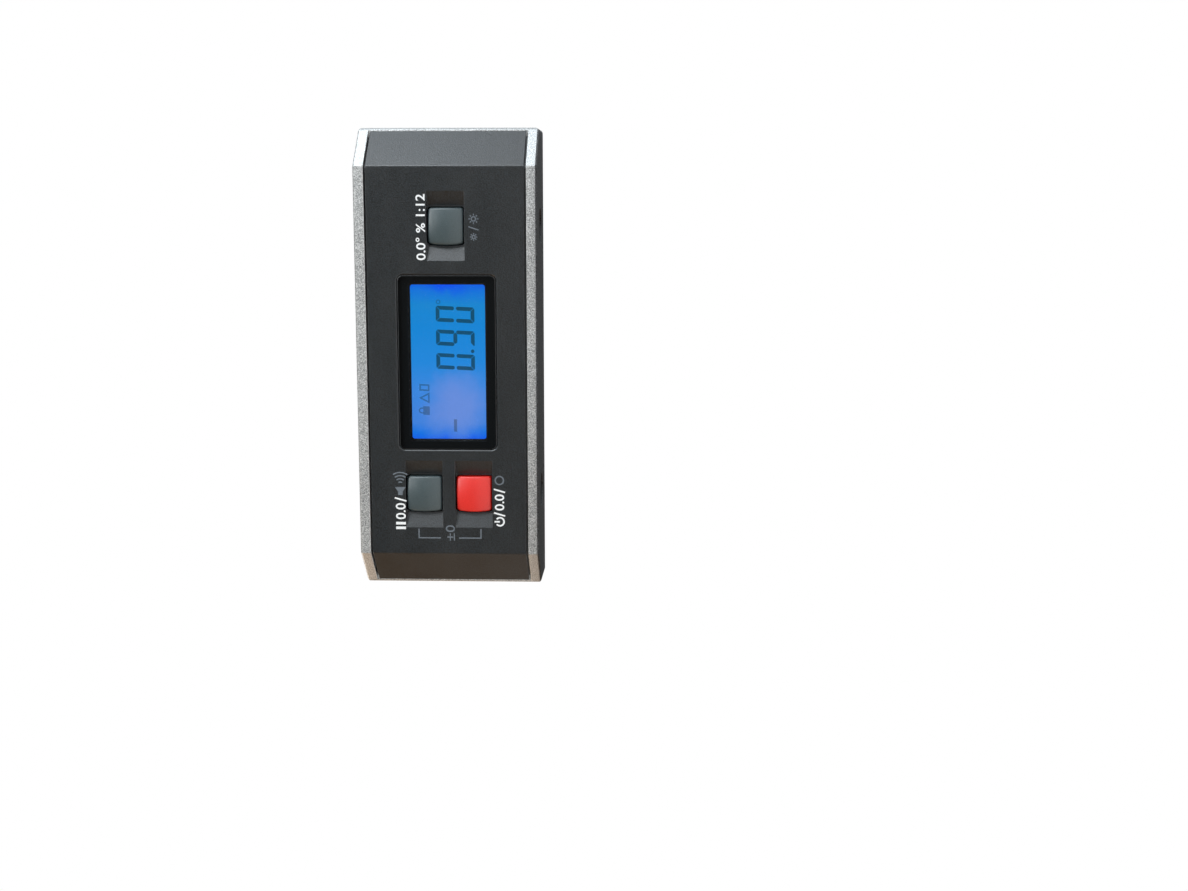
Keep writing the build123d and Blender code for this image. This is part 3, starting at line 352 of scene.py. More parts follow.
# %% Finishes: inside
nickel = grained(
    "nickel_plate", shade(176, 172, 160), shade(206, 203, 192), (0.22, 0.32), 0.5, 0.25, 0.002,
    (shade(232, 230, 224), 0.1, 2.0), {"Metallic": 1.0},
)
steel = grained(
    "bright_steel", shade(150, 152, 156), shade(186, 188, 192), (0.28, 0.38), 0.25, 0.2, 0.002,
    (shade(214, 216, 220), 0.15, 2.0), {"Metallic": 1.0},
)
screw_steel = grained(
    "blackened_screw_steel", shade(44, 45, 48), shade(66, 67, 71), (0.32, 0.42), 0.15, 0.2, 0.004,
    (shade(150, 150, 152), 0.12, 3.0), {"Metallic": 0.85},
)
magnet_nickel = grained(
    "magnet_nickel", shade(150, 150, 152), shade(180, 180, 182), (0.2, 0.3), 0.6, 0.25, 0.002,
    (shade(220, 220, 220), 0.2, 2.0), {"Metallic": 1.0},
)
board_green = grained(
    "board_lacquer", shade(14, 74, 42), shade(22, 96, 54), (0.25, 0.35), 1.4, 0.12, 0.01,
    None, {"Coat Weight": 0.3},
)
chip_black = grained("chip_black", shade(26, 26, 28), shade(38, 38, 40), (0.5, 0.6), 0.12, 0.2, 0.006)
ceramic = grained("ceramic_parts", shade(168, 146, 112), shade(190, 170, 136), (0.4, 0.5), 0.3, 0.2,
                  0.004)
foam = grained("cell_foam", shade(40, 40, 42), shade(70, 70, 72), (0.85, 0.95), 0.35, 0.12, 0.08)
rubber = grained("contact_rubber", shade(52, 50, 50), shade(88, 84, 82), (0.6, 0.7), 0.08, 0.1, 0.004)
inside = (nickel, steel, screw_steel, magnet_nickel, board_green, chip_black, ceramic, foam, rubber)
print("inner finishes:", len(inside))

# %% [markdown]
# ## The display
#
# Light enters the guide from the end beside the hold and power buttons, so the blue is palest
# there and deepens along the display. Right at both ends the film's edge shows as a more saturated
# line. A ramp along x gives the run of colour, a soft round patch gives the pale cloud, and another
# the deep blue in the middle of the far end. Noise bends the places first, so that no edge of a
# patch is a clean circle; it shifts them by half its reach on average, and the patches' middles
# move with it. The segments use the same group with a tint, because a dark segment is this same
# light with most of it held back.

# %% Group: backlight colour
WOBBLES_PER_METRE = 220.0
RAMP_START, RAMP_END, RAMP_BEND, PATCH_BEND = -0.0168, 0.0189, 0.0022, 0.006
PALE_CLOUD, DEEP_END = at(-10.2, 2.9, 18.8), at(20.6, 2.9, 20.75)
BACKLIGHT = bpy.data.node_groups.new("backlight colour", "ShaderNodeTree")
BACKLIGHT.interface.new_socket("Colour", in_out="OUTPUT", socket_type="NodeSocketColor")
target = BACKLIGHT.nodes.new("NodeGroupOutput").inputs
position = add(BACKLIGHT, "ShaderNodeTexCoord").outputs["Object"]
along = add(BACKLIGHT, "ShaderNodeSeparateXYZ", {0: position}).outputs["X"]
wobble = add(BACKLIGHT, "ShaderNodeTexNoise", {
    "Vector": position, "Scale": WOBBLES_PER_METRE, "Detail": 2.0,
})
shift = add(BACKLIGHT, "ShaderNodeMath", {0: wobble.outputs["Fac"], 1: RAMP_BEND, 2: along},
            operation="MULTIPLY_ADD").outputs[0]
portion = add(BACKLIGHT, "ShaderNodeMapRange", {
    "Value": shift, "From Min": RAMP_START, "From Max": RAMP_END,
}).outputs["Result"]
ramp = add(BACKLIGHT, "ShaderNodeValToRGB", {"Fac": portion})
stops = [
    (0.0, shade(0, 96, 244)), (0.045, shade(16, 120, 234)), (0.10, shade(64, 134, 230)),
    (0.32, shade(58, 140, 232)), (0.5, shade(28, 140, 228)), (0.72, shade(10, 138, 222)),
    (0.87, shade(14, 138, 216)), (0.955, shade(6, 120, 226)), (1.0, shade(2, 96, 238)),
]
ramp.color_ramp.elements[0].color = stops[0][1]
ramp.color_ramp.elements[1].color = stops[-1][1]
for share, colour in stops[1:-1]:
    ramp.color_ramp.elements.new(share).color = colour
bent = add(BACKLIGHT, "ShaderNodeVectorMath", {
    0: wobble.outputs["Color"], 1: (PATCH_BEND, 0.0, PATCH_BEND), 2: position,
}, operation="MULTIPLY_ADD").outputs[0]


def patch(middle, near, far, strength):
    """A soft round patch of light on the display, as a mask."""
    away = add(BACKLIGHT, "ShaderNodeVectorMath", {0: bent, 1: middle}, operation="DISTANCE")
    return add(BACKLIGHT, "ShaderNodeMapRange", {
        "Value": away.outputs["Value"], "From Min": near * MM, "From Max": far * MM,
        "To Min": strength, "To Max": 0.0}, interpolation_type="SMOOTHSTEP").outputs["Result"]


mean_shift = Vector((PATCH_BEND / 2, 0.0, PATCH_BEND / 2))
cloud = patch(PALE_CLOUD + mean_shift, 1.5, 10.2, 0.85)
deep = patch(DEEP_END + mean_shift, 1.2, 5.8, 0.9)
clouded = blend(BACKLIGHT, cloud, ramp.outputs["Color"], shade(112, 148, 228))
BACKLIGHT.links.new(blend(BACKLIGHT, deep, clouded, shade(0, 78, 250)), target["Colour"])
print("backlight stops:", len(stops))

# %% Finishes: lit display, dark segments and light guide
def lit(name, tint, strength, sockets):
    """A finish that glows with the backlight's colour, held back by a tint."""
    finish, tree, shader = new_finish(name, sockets)
    holder = tree.nodes.new("ShaderNodeGroup")
    holder.node_tree = BACKLIGHT
    speck = place(tree, GRAIN, {"Size": 0.25 * MM, "Spread": 0.25})
    faint = add(tree, "ShaderNodeMapRange", {"Value": speck, "To Min": 0.94, "To Max": 1.04})
    held = add(tree, "ShaderNodeMix", {"Factor": 1.0, 6: holder.outputs[0], 7: tint},
               data_type="RGBA", blend_type="MULTIPLY").outputs[2]
    grainy = add(tree, "ShaderNodeVectorMath", {0: held, "Scale": faint.outputs["Result"]},
                 operation="SCALE").outputs[0]
    tree.links.new(grainy, shader.inputs["Emission Color"])
    shader.inputs["Emission Strength"].default_value = strength
    shine = place(tree, MARKS, {"Low": 0.3, "High": 0.42})
    tree.links.new(shine, shader.inputs["Roughness"])
    return finish


GLOW = 0.97
display_film = lit("lit_display", (1, 1, 1, 1), GLOW, {
    "Base Color": (0.001, 0.002, 0.005, 1), "Specular IOR Level": 0.05})
segment_ink = lit("display_segments", (0.3, 0.31, 0.24, 1), GLOW, {
    "Base Color": (0.001, 0.002, 0.003, 1), "Specular IOR Level": 0.05})
faint_ink = lit("faint_segments", (0.62, 0.58, 0.5, 1), GLOW, {
    "Base Color": (0.001, 0.002, 0.003, 1), "Specular IOR Level": 0.05})
light_guide = grained("light_guide", shade(206, 218, 228), shade(226, 236, 244), (0.12, 0.2), 0.6,
                      0.2, 0.002, None, {"Transmission Weight": 0.6})
lamp_finish = grained("lamp_housing", shade(228, 226, 214), shade(244, 242, 232), (0.3, 0.4), 0.3)
print("display finishes:", display_film.name, segment_ink.name, faint_ink.name)

# %% [markdown]
# The window is a clear plate, polished on both sides, and the black border is printed behind it.
# The border looks glossy only because the window in front of it is.

# %% Finishes: window, border and printed marks
window_clear, tree, shader = new_finish("polished_clear_plastic", {
    "Base Color": (1, 1, 1, 1), "Transmission Weight": 1.0, "IOR": 1.49})
shine = place(tree, MARKS, {"Low": 0.0, "High": 0.03})
tree.links.new(shine, shader.inputs["Roughness"])
mask_black = grained("printed_border", shade(4, 10, 13), shade(8, 15, 19), (0.5, 0.6), 0.2,
                     sockets={"Specular IOR Level": 0.15})
print_white = grained("white_print", shade(222, 226, 228), shade(246, 248, 248), (0.45, 0.55), 0.14,
                      0.25, 0.004)
print_grey = grained("grey_print", shade(88, 96, 104), shade(112, 120, 128), (0.45, 0.55), 0.14,
                     0.25, 0.004)
print("finishes:", window_clear.name, mask_black.name, print_white.name, print_grey.name)

# %% [markdown]
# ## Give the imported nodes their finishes
#
# The solids keep their meshes; only the material in their slot changes. A table is easier to read
# and to check than thirty separate lines. Nodes that a finer piece replaces further down get their
# finish too, so that the solids look right by themselves.

# %% Assign the finishes
DRESS = {
    "frame": aluminium, "base_magnets": magnet_nickel, "front_cover": cover_plastic,
    "display_window": window_clear, "window_mask": mask_black, "lcd_glass": display_film,
    "lcd_backlight": light_guide, "backlight_leds": lamp_finish, "lcd_holder": frame_black,
    "zebra_strip": rubber, "main_board": board_green, "board_screws": steel,
    "controller_chip": chip_black, "tilt_sensor": steel, "buzzer": chip_black,
    "board_parts": ceramic, "switch_bodies": inner_plastic, "switch_plates": steel,
    "battery_cells": steel, "positive_contact": nickel, "negative_contact": nickel,
    "bridge_contact": nickel, "back_cover": cover_plastic, "battery_door": cover_plastic,
    "door_pad": foam, "cover_screws": screw_steel, "units_button": cap_grey,
    "hold_button": cap_grey, "power_button": cap_red, "units_plunger": inner_plastic,
    "hold_plunger": inner_plastic, "power_plunger": inner_plastic,
}
for name, finish in DRESS.items():
    mesh = nodes[name].data
    mesh.materials.clear()
    mesh.materials.append(finish)
print("dressed:", len(DRESS), "undressed:", sorted(set(nodes) - set(DRESS)))

# %% [markdown]
# ## Mesh helpers
#
# Marks, segments and caps are drawn as outlines in the front view and given thickness. `plate`
# makes a closed flat piece from an outline, and `ribbon` makes one from a line with a width, with
# mitred corners, so a mark is drawn the way a sign maker would: a few strokes and fills.

# %% Build closed plates and ribbons
def ring_of(form, points, depth):
    """Vertices of an outline in the front view at one depth."""
    return [form.verts.new(at(x, depth, z)) for x, z in points]


def plate(form, outline, front, back):
    """A closed flat piece with this outline between two depths."""
    near, far = ring_of(form, outline, front), ring_of(form, outline, back)
    form.faces.new(near)
    form.faces.new(far[::-1])
    for number in range(len(outline)):
        after = (number + 1) % len(outline)
        form.faces.new((near[number], far[number], far[after], near[after]))


def mitred(points, width, closed):
    """The two sides of a line with a width."""
    sides = ([], [])
    count = len(points)
    for number, point in enumerate(points):
        here = Vector(point)
        before = Vector(points[number - 1]) if closed or number else None
        after = Vector(points[(number + 1) % count]) if closed or number < count - 1 else None
        arriving = (here - before).normalized() if before else (after - here).normalized()
        leaving = (after - here).normalized() if after else arriving
        middle = (arriving + leaving).normalized()
        across = Vector((-middle.y, middle.x)) * width / 2 / max(0.4, middle.dot(arriving))
        sides[0].append(here + across)
        sides[1].append(here - across)
    return sides


def ribbon(form, points, width, front, back, closed=False):
    """A closed flat piece along a line of the front view."""
    left, right = mitred(points, width, closed)
    rows = [ring_of(form, side, depth) for side in (left, right) for depth in (front, back)]
    count = len(points)
    for number in range(count if closed else count - 1):
        after = (number + 1) % count
        for first, second in ((0, 2), (2, 3), (3, 1), (1, 0)):
            form.faces.new((rows[first][number], rows[second][number],
                            rows[second][after], rows[first][after]))
    if not closed:
        for end in (0, -1):
            form.faces.new([rows[row][end] for row in (0, 1, 3, 2)])


def arc(x, z, radius, start, end, steps=12):
    """Points of an arc, with its angles in degrees from the x axis."""
    angles = [math.radians(start + (end - start) * step / steps) for step in range(steps + 1)]
    return [(x + radius * math.cos(turn), z + radius * math.sin(turn)) for turn in angles]


def circle(x, z, radius, steps=28):
    """Points of a full circle."""
    return arc(x, z, radius, 0, 360, steps)[:-1]


print("points in a full circle:", len(circle(0, 0, 1)))

# %% Turn a finished form into a piece
def finish_piece(name, form, finishes, body, smooth=False):
    """Make an object of a form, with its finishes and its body."""
    bmesh.ops.recalc_face_normals(form, faces=form.faces)
    mesh = bpy.data.meshes.new(name)
    form.to_mesh(mesh)
    form.free()
    for finish in finishes:
        mesh.materials.append(finish)
    for polygon in mesh.polygons:
        polygon.use_smooth = smooth
    piece = bpy.data.objects.new(name, mesh)
    scene.collection.objects.link(piece)
    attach(piece, body)
    print(name, "faces:", len(mesh.polygons))
    return piece


# %% [markdown]
# ## Button caps
#
# Each cap is a small crowned tile. Its edge is rounded all the way round, and its side towards -x
# bows out a little. Rings of points that follow the outline give a clean round edge: six rings
# turn from the side to the face, and the rest follow a large sphere to the middle. Below the face
# are the flange that stops the cap in its hole and the post on its switch.

# %% Outline of a cap
CAP_HALF_X, CAP_HALF_Z, CAP_CORNER, CAP_BOW, CAP_CROWN, CAP_EDGE = 4.1, 4.05, 0.75, 0.3, 0.5, 0.45
CAP_SKIRT, FLANGE_FRONT, FLANGE_BACK, POST_FRONT, POST_RADIUS = 2.75, 2.7, 3.38, 3.3, 1.3


def cap_outline(inset, steps=7):
    """Points round a cap, drawn in by a distance, with rounded corners and one bowed side."""
    half_x, half_z, radius = CAP_HALF_X - inset, CAP_HALF_Z - inset, max(0.12, CAP_CORNER - inset)
    points = []
    for corner_x, corner_z, start in ((1, 1, 0), (-1, 1, 90), (-1, -1, 180), (1, -1, 270)):
        centre_x, centre_z = corner_x * (half_x - radius), corner_z * (half_z - radius)
        points += arc(centre_x, centre_z, radius, start, start + 90, steps)
    filled = []
    for number, (x, z) in enumerate(points):
        after = points[(number + 1) % len(points)]
        gap = math.dist((x, z), after)
        pieces = max(1, round(gap / 0.5)) if gap > 1 else 1
        filled += [(x + (after[0] - x) * step / pieces, z + (after[1] - z) * step / pieces)
                   for step in range(pieces)]
    bow = [CAP_BOW * (1 - (z / half_z) ** 2) * max(0.0, -x / half_x) ** 6 for x, z in filled]
    return [(x - push + CAP_BOW / 2 * max(0.0, -x / half_x) ** 6, z)
            for (x, z), push in zip(filled, bow)]


def crown_depth(x, z):
    """How far the crowned face lies behind its middle."""
    sphere = (CAP_HALF_Z ** 2 + CAP_CROWN ** 2) / (2 * CAP_CROWN)
    return sphere - math.sqrt(sphere ** 2 - x ** 2 - z ** 2)


print("cap outline points:", len(cap_outline(0.0)))

# %% Build the three caps
def make_cap(name, finish, body):
    """A rounded cap with its flange and post, in place of the plain solid."""
    low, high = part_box(name)
    middle_x = (high.x + low.x) / 2 / MM
    middle_z = (high.z + low.z) / 2 / MM
    form = bmesh.new()
    rings = []
    outlines = [(0.0, CAP_SKIRT)]
    for step in range(6):
        turn = math.radians(18 * step)
        outlines.append((CAP_EDGE * (1 - math.cos(turn)), CAP_EDGE * (1 - math.sin(turn))))
    for inset, depth in outlines:
        behind = 0.0 if depth == CAP_SKIRT else 1.0
        rings.append([
            form.verts.new(at(middle_x + x, depth + behind * crown_depth(x, z), middle_z + z))
            for x, z in cap_outline(inset)
        ])
    face = cap_outline(CAP_EDGE)
    for share in (0.85, 0.65, 0.45, 0.25, 0.1):
        rings.append([form.verts.new(at(middle_x + x * share, crown_depth(x * share, z * share),
                                        middle_z + z * share)) for x, z in face])
    for near, far in zip(rings, rings[1:]):
        for number in range(len(near)):
            after = (number + 1) % len(near)
            form.faces.new((near[number], near[after], far[after], far[number]))
    form.faces.new(rings[-1])
    form.faces.new(rings[0][::-1])
    plate(form, [(middle_x + x * (high.x - low.x) / 2 / MM, middle_z + z * (high.z - low.z) / 2 / MM)
                 for x, z in ((-1, -1), (1, -1), (1, 1), (-1, 1))], FLANGE_FRONT, FLANGE_BACK)
    plate(form, circle(middle_x, middle_z, POST_RADIUS), POST_FRONT, (high.y - FRONT) / MM)
    piece = finish_piece(name + "_cap", form, [finish], body, smooth=True)
    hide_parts(name)
    return piece


make_cap("units_button", cap_grey, "units_key")
make_cap("hold_button", cap_grey, "hold_key")
make_cap("power_button", cap_red, "power_key")

# %% [markdown]
# ## Window
#
# The window is let into the cover with its front edge rounded, and that round edge catches the
# light as a thin line along the end towards the key light. A bevelled normal could fake the line,
# but on a clear plate it also disturbs what is seen through it, so the pane gets real rings of
# faces there, and a finish as dark as the border that shows through them but less polished. A
# clear shader would put what lies behind it in full shadow, because a lamp's light doesn't look
# for a bent way through, so the pane casts no shadow.

# %% Build the pane
PANE_CORNER, PANE_EDGE = 1.3, 0.2
pane_edge = grained("pane_edge", shade(12, 15, 17), shade(18, 22, 25), (0.26, 0.34), 0.15, 0.2, 0.0,
                    None, {"Specular IOR Level": 0.9})


def pane_outline(low, high, inset, steps=8):
    """Points round a pane with rounded corners, drawn in by a distance."""
    radius = PANE_CORNER - inset
    right, left = high.x / MM - inset - radius, low.x / MM + inset + radius
    top, bottom = high.z / MM - inset - radius, low.z / MM + inset + radius
    points = []
    for x, z, start in ((right, top, 0), (left, top, 90), (left, bottom, 180), (right, bottom, 270)):
        points += arc(x, z, radius, start, start + 90, steps)
    return points


def build_pane():
    """A clear plate with its front edge rounded, in place of the plain solid."""
    low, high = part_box("display_window")
    front, back = (low.y - FRONT) / MM, (high.y - FRONT) / MM
    profile = [(0.0, back)]
    for step in range(7):
        turn = math.radians(15 * step)
        profile.append((PANE_EDGE * (1 - math.cos(turn)), front + PANE_EDGE * (1 - math.sin(turn))))
    form = bmesh.new()
    rings = [ring_of(form, pane_outline(low, high, inset), depth) for inset, depth in profile]
    for level, (near, far) in enumerate(zip(rings, rings[1:])):
        for number in range(len(near)):
            after = (number + 1) % len(near)
            side = form.faces.new((near[number], near[after], far[after], far[number]))
            side.material_index = 1 if level else 0
    form.faces.new(rings[0][::-1])
    form.faces.new(rings[-1])
    pane = finish_piece("rounded_window", form, [window_clear, pane_edge], "case")
    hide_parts("display_window")
    pane.visible_shadow = False
    return pane


pane = build_pane()
print("pane size in mm:", [round(side / MM, 2) for side in pane.dimensions])

# %% [markdown]
# ## Digits on the display
#
# Each digit is seven bars with mitred ends and a hairline between them, leaning a little to the
# right. The bars are drawn once for an upright digit and sheared into place. They lie a hair in
# front of the display's glass, as the pattern of a real cell lies just under its first sheet.

# %% Draw the seven bars
DIGIT_HEIGHT, DIGIT_WIDTH, BAR, HAIRLINE, LEAN = 8.98, 3.72, 0.96, 0.09, 0.048


def inset_outline(points, distance):
    """A convex outline drawn in by a distance on all sides."""
    count = len(points)
    area = sum(points[n][0] * points[(n + 1) % count][1] - points[(n + 1) % count][0] * points[n][1]
               for n in range(count))
    side = 1 if area > 0 else -1
    lines = []
    for number in range(count):
        here, after = Vector(points[number]), Vector(points[(number + 1) % count])
        way = (after - here).normalized()
        lines.append((here + Vector((-way.y, way.x)) * distance * side, way))
    corners = []
    for number in range(count):
        (start, way), (other, turn) = lines[number - 1], lines[number]
        reach = (other - start).cross(turn) / way.cross(turn)
        corners.append(tuple(start + way * reach))
    return corners


def digit_bars():
    """The seven bars of an upright digit by their usual letters."""
    w, h, t, bend = DIGIT_WIDTH, DIGIT_HEIGHT, BAR, 0.62
    m = h / 2
    left, right = arc(bend, h - bend, bend, 135, 90, 4), arc(w - bend, h - bend, bend, 90, 45, 4)
    bars = {
        "a": [*left, *right, (w - t, h - t), (t, h - t)],
        "f": [*arc(bend, h - bend, bend, 135, 180, 4),
              *arc(t / 2, m + 0.17 + t / 2, t / 2, 180, 360, 10), (t, h - t)],
        "g": [(t / 2, m), (t * 0.98, m + t * 0.51), (w - t * 0.98, m + t * 0.51), (w - t / 2, m),
              (w - t * 0.98, m - t * 0.51), (t * 0.98, m - t * 0.51)],
    }
    bars["b"] = [(w - x, z) for x, z in bars["f"]]
    bars["c"] = [(w - x, h - z) for x, z in bars["f"]]
    bars["d"] = [(x, h - z) for x, z in bars["a"]]
    bars["e"] = [(x, h - z) for x, z in bars["f"]]
    return {letter: inset_outline(bar, HAIRLINE / 2) for letter, bar in bars.items()}


bars = digit_bars()
print("bars:", sorted(bars))

# %% [markdown]
# The reading is 0.90 with a small degree ring, and a minus bar stands at the far end. The marks
# above it are plain signs for a held and a relative reading: a padlock, and a triangle beside a
# narrow frame. Here such small signs let more light through than the broad bars of the figures,
# so they are a second piece with a paler ink.

# %% Place the reading and the signs
SEGMENT_FRONT, SEGMENT_BACK, DIGIT_FOOT = 2.86, 2.89, 14.6
NOUGHT, NINE = "abcdef", "abcdfg"
form = bmesh.new()
for start, letters in ((-1.99, NOUGHT), (3.43, NINE), (8.87, NOUGHT)):
    for letter in letters:
        leaned = [(start + x + z * LEAN, DIGIT_FOOT + z) for x, z in bars[letter]]
        plate(form, leaned, SEGMENT_FRONT, SEGMENT_BACK)
plate(form, circle(2.51, 15.14, 0.42, 16), SEGMENT_FRONT, SEGMENT_BACK)
finish_piece("display_reading", form, [segment_ink], "case")
form = bmesh.new()
plate(form, [(-16.15, 18.95), (-13.30, 18.95), (-13.26, 19.67), (-16.11, 19.67)],
      SEGMENT_FRONT, SEGMENT_BACK)
plate(form, [(-12.3, 25.25), (-10.3, 25.25), (-10.22, 26.75), (-12.22, 26.75)],
      SEGMENT_FRONT, SEGMENT_BACK)
ribbon(form, [(-11.8, 26.7), *arc(-11.23, 27.1, 0.55, 180, 0, 8), (-10.7, 26.7)],
       0.3, SEGMENT_FRONT, SEGMENT_BACK)
ribbon(form, [(-9.3, 25.42), (-7.3, 25.42), (-8.3, 27.35)], 0.34, SEGMENT_FRONT, SEGMENT_BACK, True)
ribbon(form, [(-6.55, 25.42), (-5.35, 25.42), (-5.25, 27.4), (-6.45, 27.4)], 0.36,
       SEGMENT_FRONT, SEGMENT_BACK, True)
ribbon(form, circle(13.84, 22.94, 0.42, 20), 0.2, SEGMENT_FRONT, SEGMENT_BACK, True)
finish_piece("display_signs", form, [faint_ink], "case")

# %% [markdown]
# ## Printed marks
#
# The marks on the cover are screen printed in white for a button's first use and in grey for its
# second. Words are left off; plain figures and signs that any such instrument could carry take
# their places. Figures come from Blender's own typeface, turned into a mesh and fitted to the
# space of the print, and signs are drawn with ribbons and plates.

# %% Helpers for figures and signs
PRINT_FRONT, PRINT_BACK = COVER_FACE - 0.02, COVER_FACE + 0.01


def figures(form, text, low, high, weight=0.0):
    """Figures fitted between two corners of the front view, as a thin layer of print."""
    curve = bpy.data.curves.new("figures", "FONT")
    curve.body = text
    curve.extrude = 0.01
    curve.offset = weight
    holder = bpy.data.objects.new("figures", curve)
    scene.collection.objects.link(holder)
    bpy.context.view_layer.update()
    settled = holder.evaluated_get(bpy.context.evaluated_depsgraph_get())
    mesh = bpy.data.meshes.new_from_object(settled)
    xs = [vertex.co.x for vertex in mesh.vertices]
    ys = [vertex.co.y for vertex in mesh.vertices]
    for vertex in mesh.vertices:
        x = low[0] + (vertex.co.x - min(xs)) / (max(xs) - min(xs)) * (high[0] - low[0])
        z = low[1] + (vertex.co.y - min(ys)) / (max(ys) - min(ys)) * (high[1] - low[1])
        vertex.co = at(x, PRINT_FRONT if vertex.co.z > 0 else PRINT_BACK, z)
    form.from_mesh(mesh)
    bpy.data.objects.remove(holder)
    bpy.data.meshes.remove(mesh)
    bpy.data.curves.remove(curve)


def stroke(form, points, width, closed=False):
    """A printed line."""
    ribbon(form, points, width, PRINT_FRONT, PRINT_BACK, closed)


def fill(form, outline):
    """A printed area."""
    plate(form, outline, PRINT_FRONT, PRINT_BACK)


def slash(form, x, low, high, width):
    """The stroke between two uses of a button."""
    stroke(form, [(x, low), (x + 0.75, high)], width)


def sun(form, x, z, size):
    """A sign for the light: a ring with eight rays."""
    stroke(form, circle(x, z, size * 0.42), 0.26, True)
    for turn in range(8):
        ray = Vector((math.cos(turn * math.pi / 4), math.sin(turn * math.pi / 4)))
        stroke(form, [(x + ray.x * size * 0.66, z + ray.y * size * 0.66),
                      (x + ray.x * size, z + ray.y * size)], 0.24)


print("print depth:", round(PRINT_FRONT, 3), "to", round(PRINT_BACK, 3))

# %% White marks
form = bmesh.new()
figures(form, "0.0° % 1:12", (23.4, 25.3), (38.2, 27.5), 0.014)
for x in (-38.75, -37.65):
    fill(form, [(x, 30.9), (x + 0.62, 30.9), (x + 0.62, 33.2), (x, 33.2)])
figures(form, "0.0", (-36.4, 30.9), (-32.6, 33.2), 0.014)
slash(form, -32.1, 30.7, 33.4, 0.36)
stroke(form, arc(-36.85, 8.98, 0.95, 128, 412, 20), 0.38)
stroke(form, [(-36.85, 9.0), (-36.85, 10.25)], 0.38)
slash(form, -35.5, 7.75, 10.35, 0.36)
figures(form, "0.0", (-34.2, 7.95), (-30.4, 10.15), 0.014)
slash(form, -29.95, 7.75, 10.35, 0.36)
finish_piece("white_marks", form, [print_white], "case")

# %% Grey marks
form = bmesh.new()
fill(form, [(-30.7, 31.5), (-29.9, 31.5), (-28.8, 30.8),
            (-28.8, 33.3), (-29.9, 32.6), (-30.7, 32.6)])
for radius in (0.75, 1.5, 2.25, 3.0):
    stroke(form, arc(-28.4, 32.05, radius, -34, 34, 8), 0.3)
stroke(form, circle(-27.15, 9.05, 0.95), 0.32, True)
sun(form, 28.6, 14.34, 0.85)
slash(form, 30.15, 13.2, 15.5, 0.26)
sun(form, 32.65, 14.34, 1.15)
figures(form, "±0", (-41.4, 19.5), (-37.75, 21.6), 0.0)
stroke(form, [(-38.6, 27.87), (-40.76, 27.87), (-40.76, 22.77)], 0.28)
stroke(form, [(-40.76, 18.57), (-40.76, 13.43), (-38.6, 13.43)], 0.28)
finish_piece("grey_marks", form, [print_grey], "case")

# %% [markdown]
# ## Screws
#
# Four cross-head screws close the case from behind, each at the bottom of its well. The head is
# turned from a profile, with a rounded shoulder, and the cross is cut into its flat face: a filled
# face with a cross-shaped hole, and walls that narrow towards a smaller cross below.

# %% Build a screw head with its cross
SCREW_INSET, HEAD, HEAD_DEPTH, SHANK, SHANK_LENGTH = 1.9, 1.88, 1.3, 0.93, 4.6
CROSS_REACH, CROSS_HALF, CROSS_DEPTH = 0.98, 0.24, 0.85
CROSS_FOOT_REACH, CROSS_FOOT_HALF = 0.5, 0.14


def cross_outline(x, z, reach, half):
    """A cross of twelve corners."""
    quarter = [(reach, -half), (reach, half), (half, half)]
    points = []
    for turn in range(4):
        for along, across in quarter:
            for _ in range(turn):
                along, across = -across, along
            points.append((x + along, z + across))
    return points


def make_screw(form, x, z, seat, top):
    """A screw head between two depths, with its shank below."""
    profile = [(SHANK - 0.03, seat - SHANK_LENGTH), (SHANK, seat), (HEAD, seat),
               (HEAD, top - 0.45), (HEAD - 0.1, top - 0.2), (HEAD - 0.32, top - 0.06),
               (HEAD - 0.6, top)]
    rings = [ring_of(form, circle(x, z, radius, 36), depth) for radius, depth in profile]
    for near, far in zip(rings, rings[1:]):
        for number in range(len(near)):
            after = (number + 1) % len(near)
            form.faces.new((near[number], near[after], far[after], far[number]))
    form.faces.new(rings[0])
    mouth = ring_of(form, cross_outline(x, z, CROSS_REACH, CROSS_HALF), top)
    foot = ring_of(form, cross_outline(x, z, CROSS_FOOT_REACH, CROSS_FOOT_HALF), top - CROSS_DEPTH)
    for number in range(len(mouth)):
        after = (number + 1) % len(mouth)
        form.faces.new((mouth[number], mouth[after], foot[after], foot[number]))
    form.faces.new(foot)
    edges = [form.edges.get((loop[n], loop[(n + 1) % len(loop)])) for loop in (rings[-1], mouth)
             for n in range(len(loop))]
    bmesh.ops.triangle_fill(form, edges=edges, use_beauty=True)


low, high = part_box("cover_screws")
form = bmesh.new()
head_top = (high.y - FRONT) / MM
for x in (low.x / MM + SCREW_INSET, high.x / MM - SCREW_INSET):
    for z in (low.z / MM + SCREW_INSET, high.z / MM - SCREW_INSET):
        make_screw(form, x, z, head_top - HEAD_DEPTH, head_top)
screws = finish_piece("cross_head_screws", form, [screw_steel], "case")
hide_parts("cover_screws")

# %% [markdown]
# ## Cells
#
# The door opens on two small cells, head to tail. A cell is a steel can in a shrunk printed
# sleeve: the sleeve folds over the shoulder, and a raised cap stands out of a ring at the positive
# end. It is turned round its axis from a profile, and the faces of the sleeve get a second finish.
# Its pale band marks the raised end. That end lies on opposite sides of the two cells, so the
# band's place along x is turned round for the upper cell by the sign of its height.

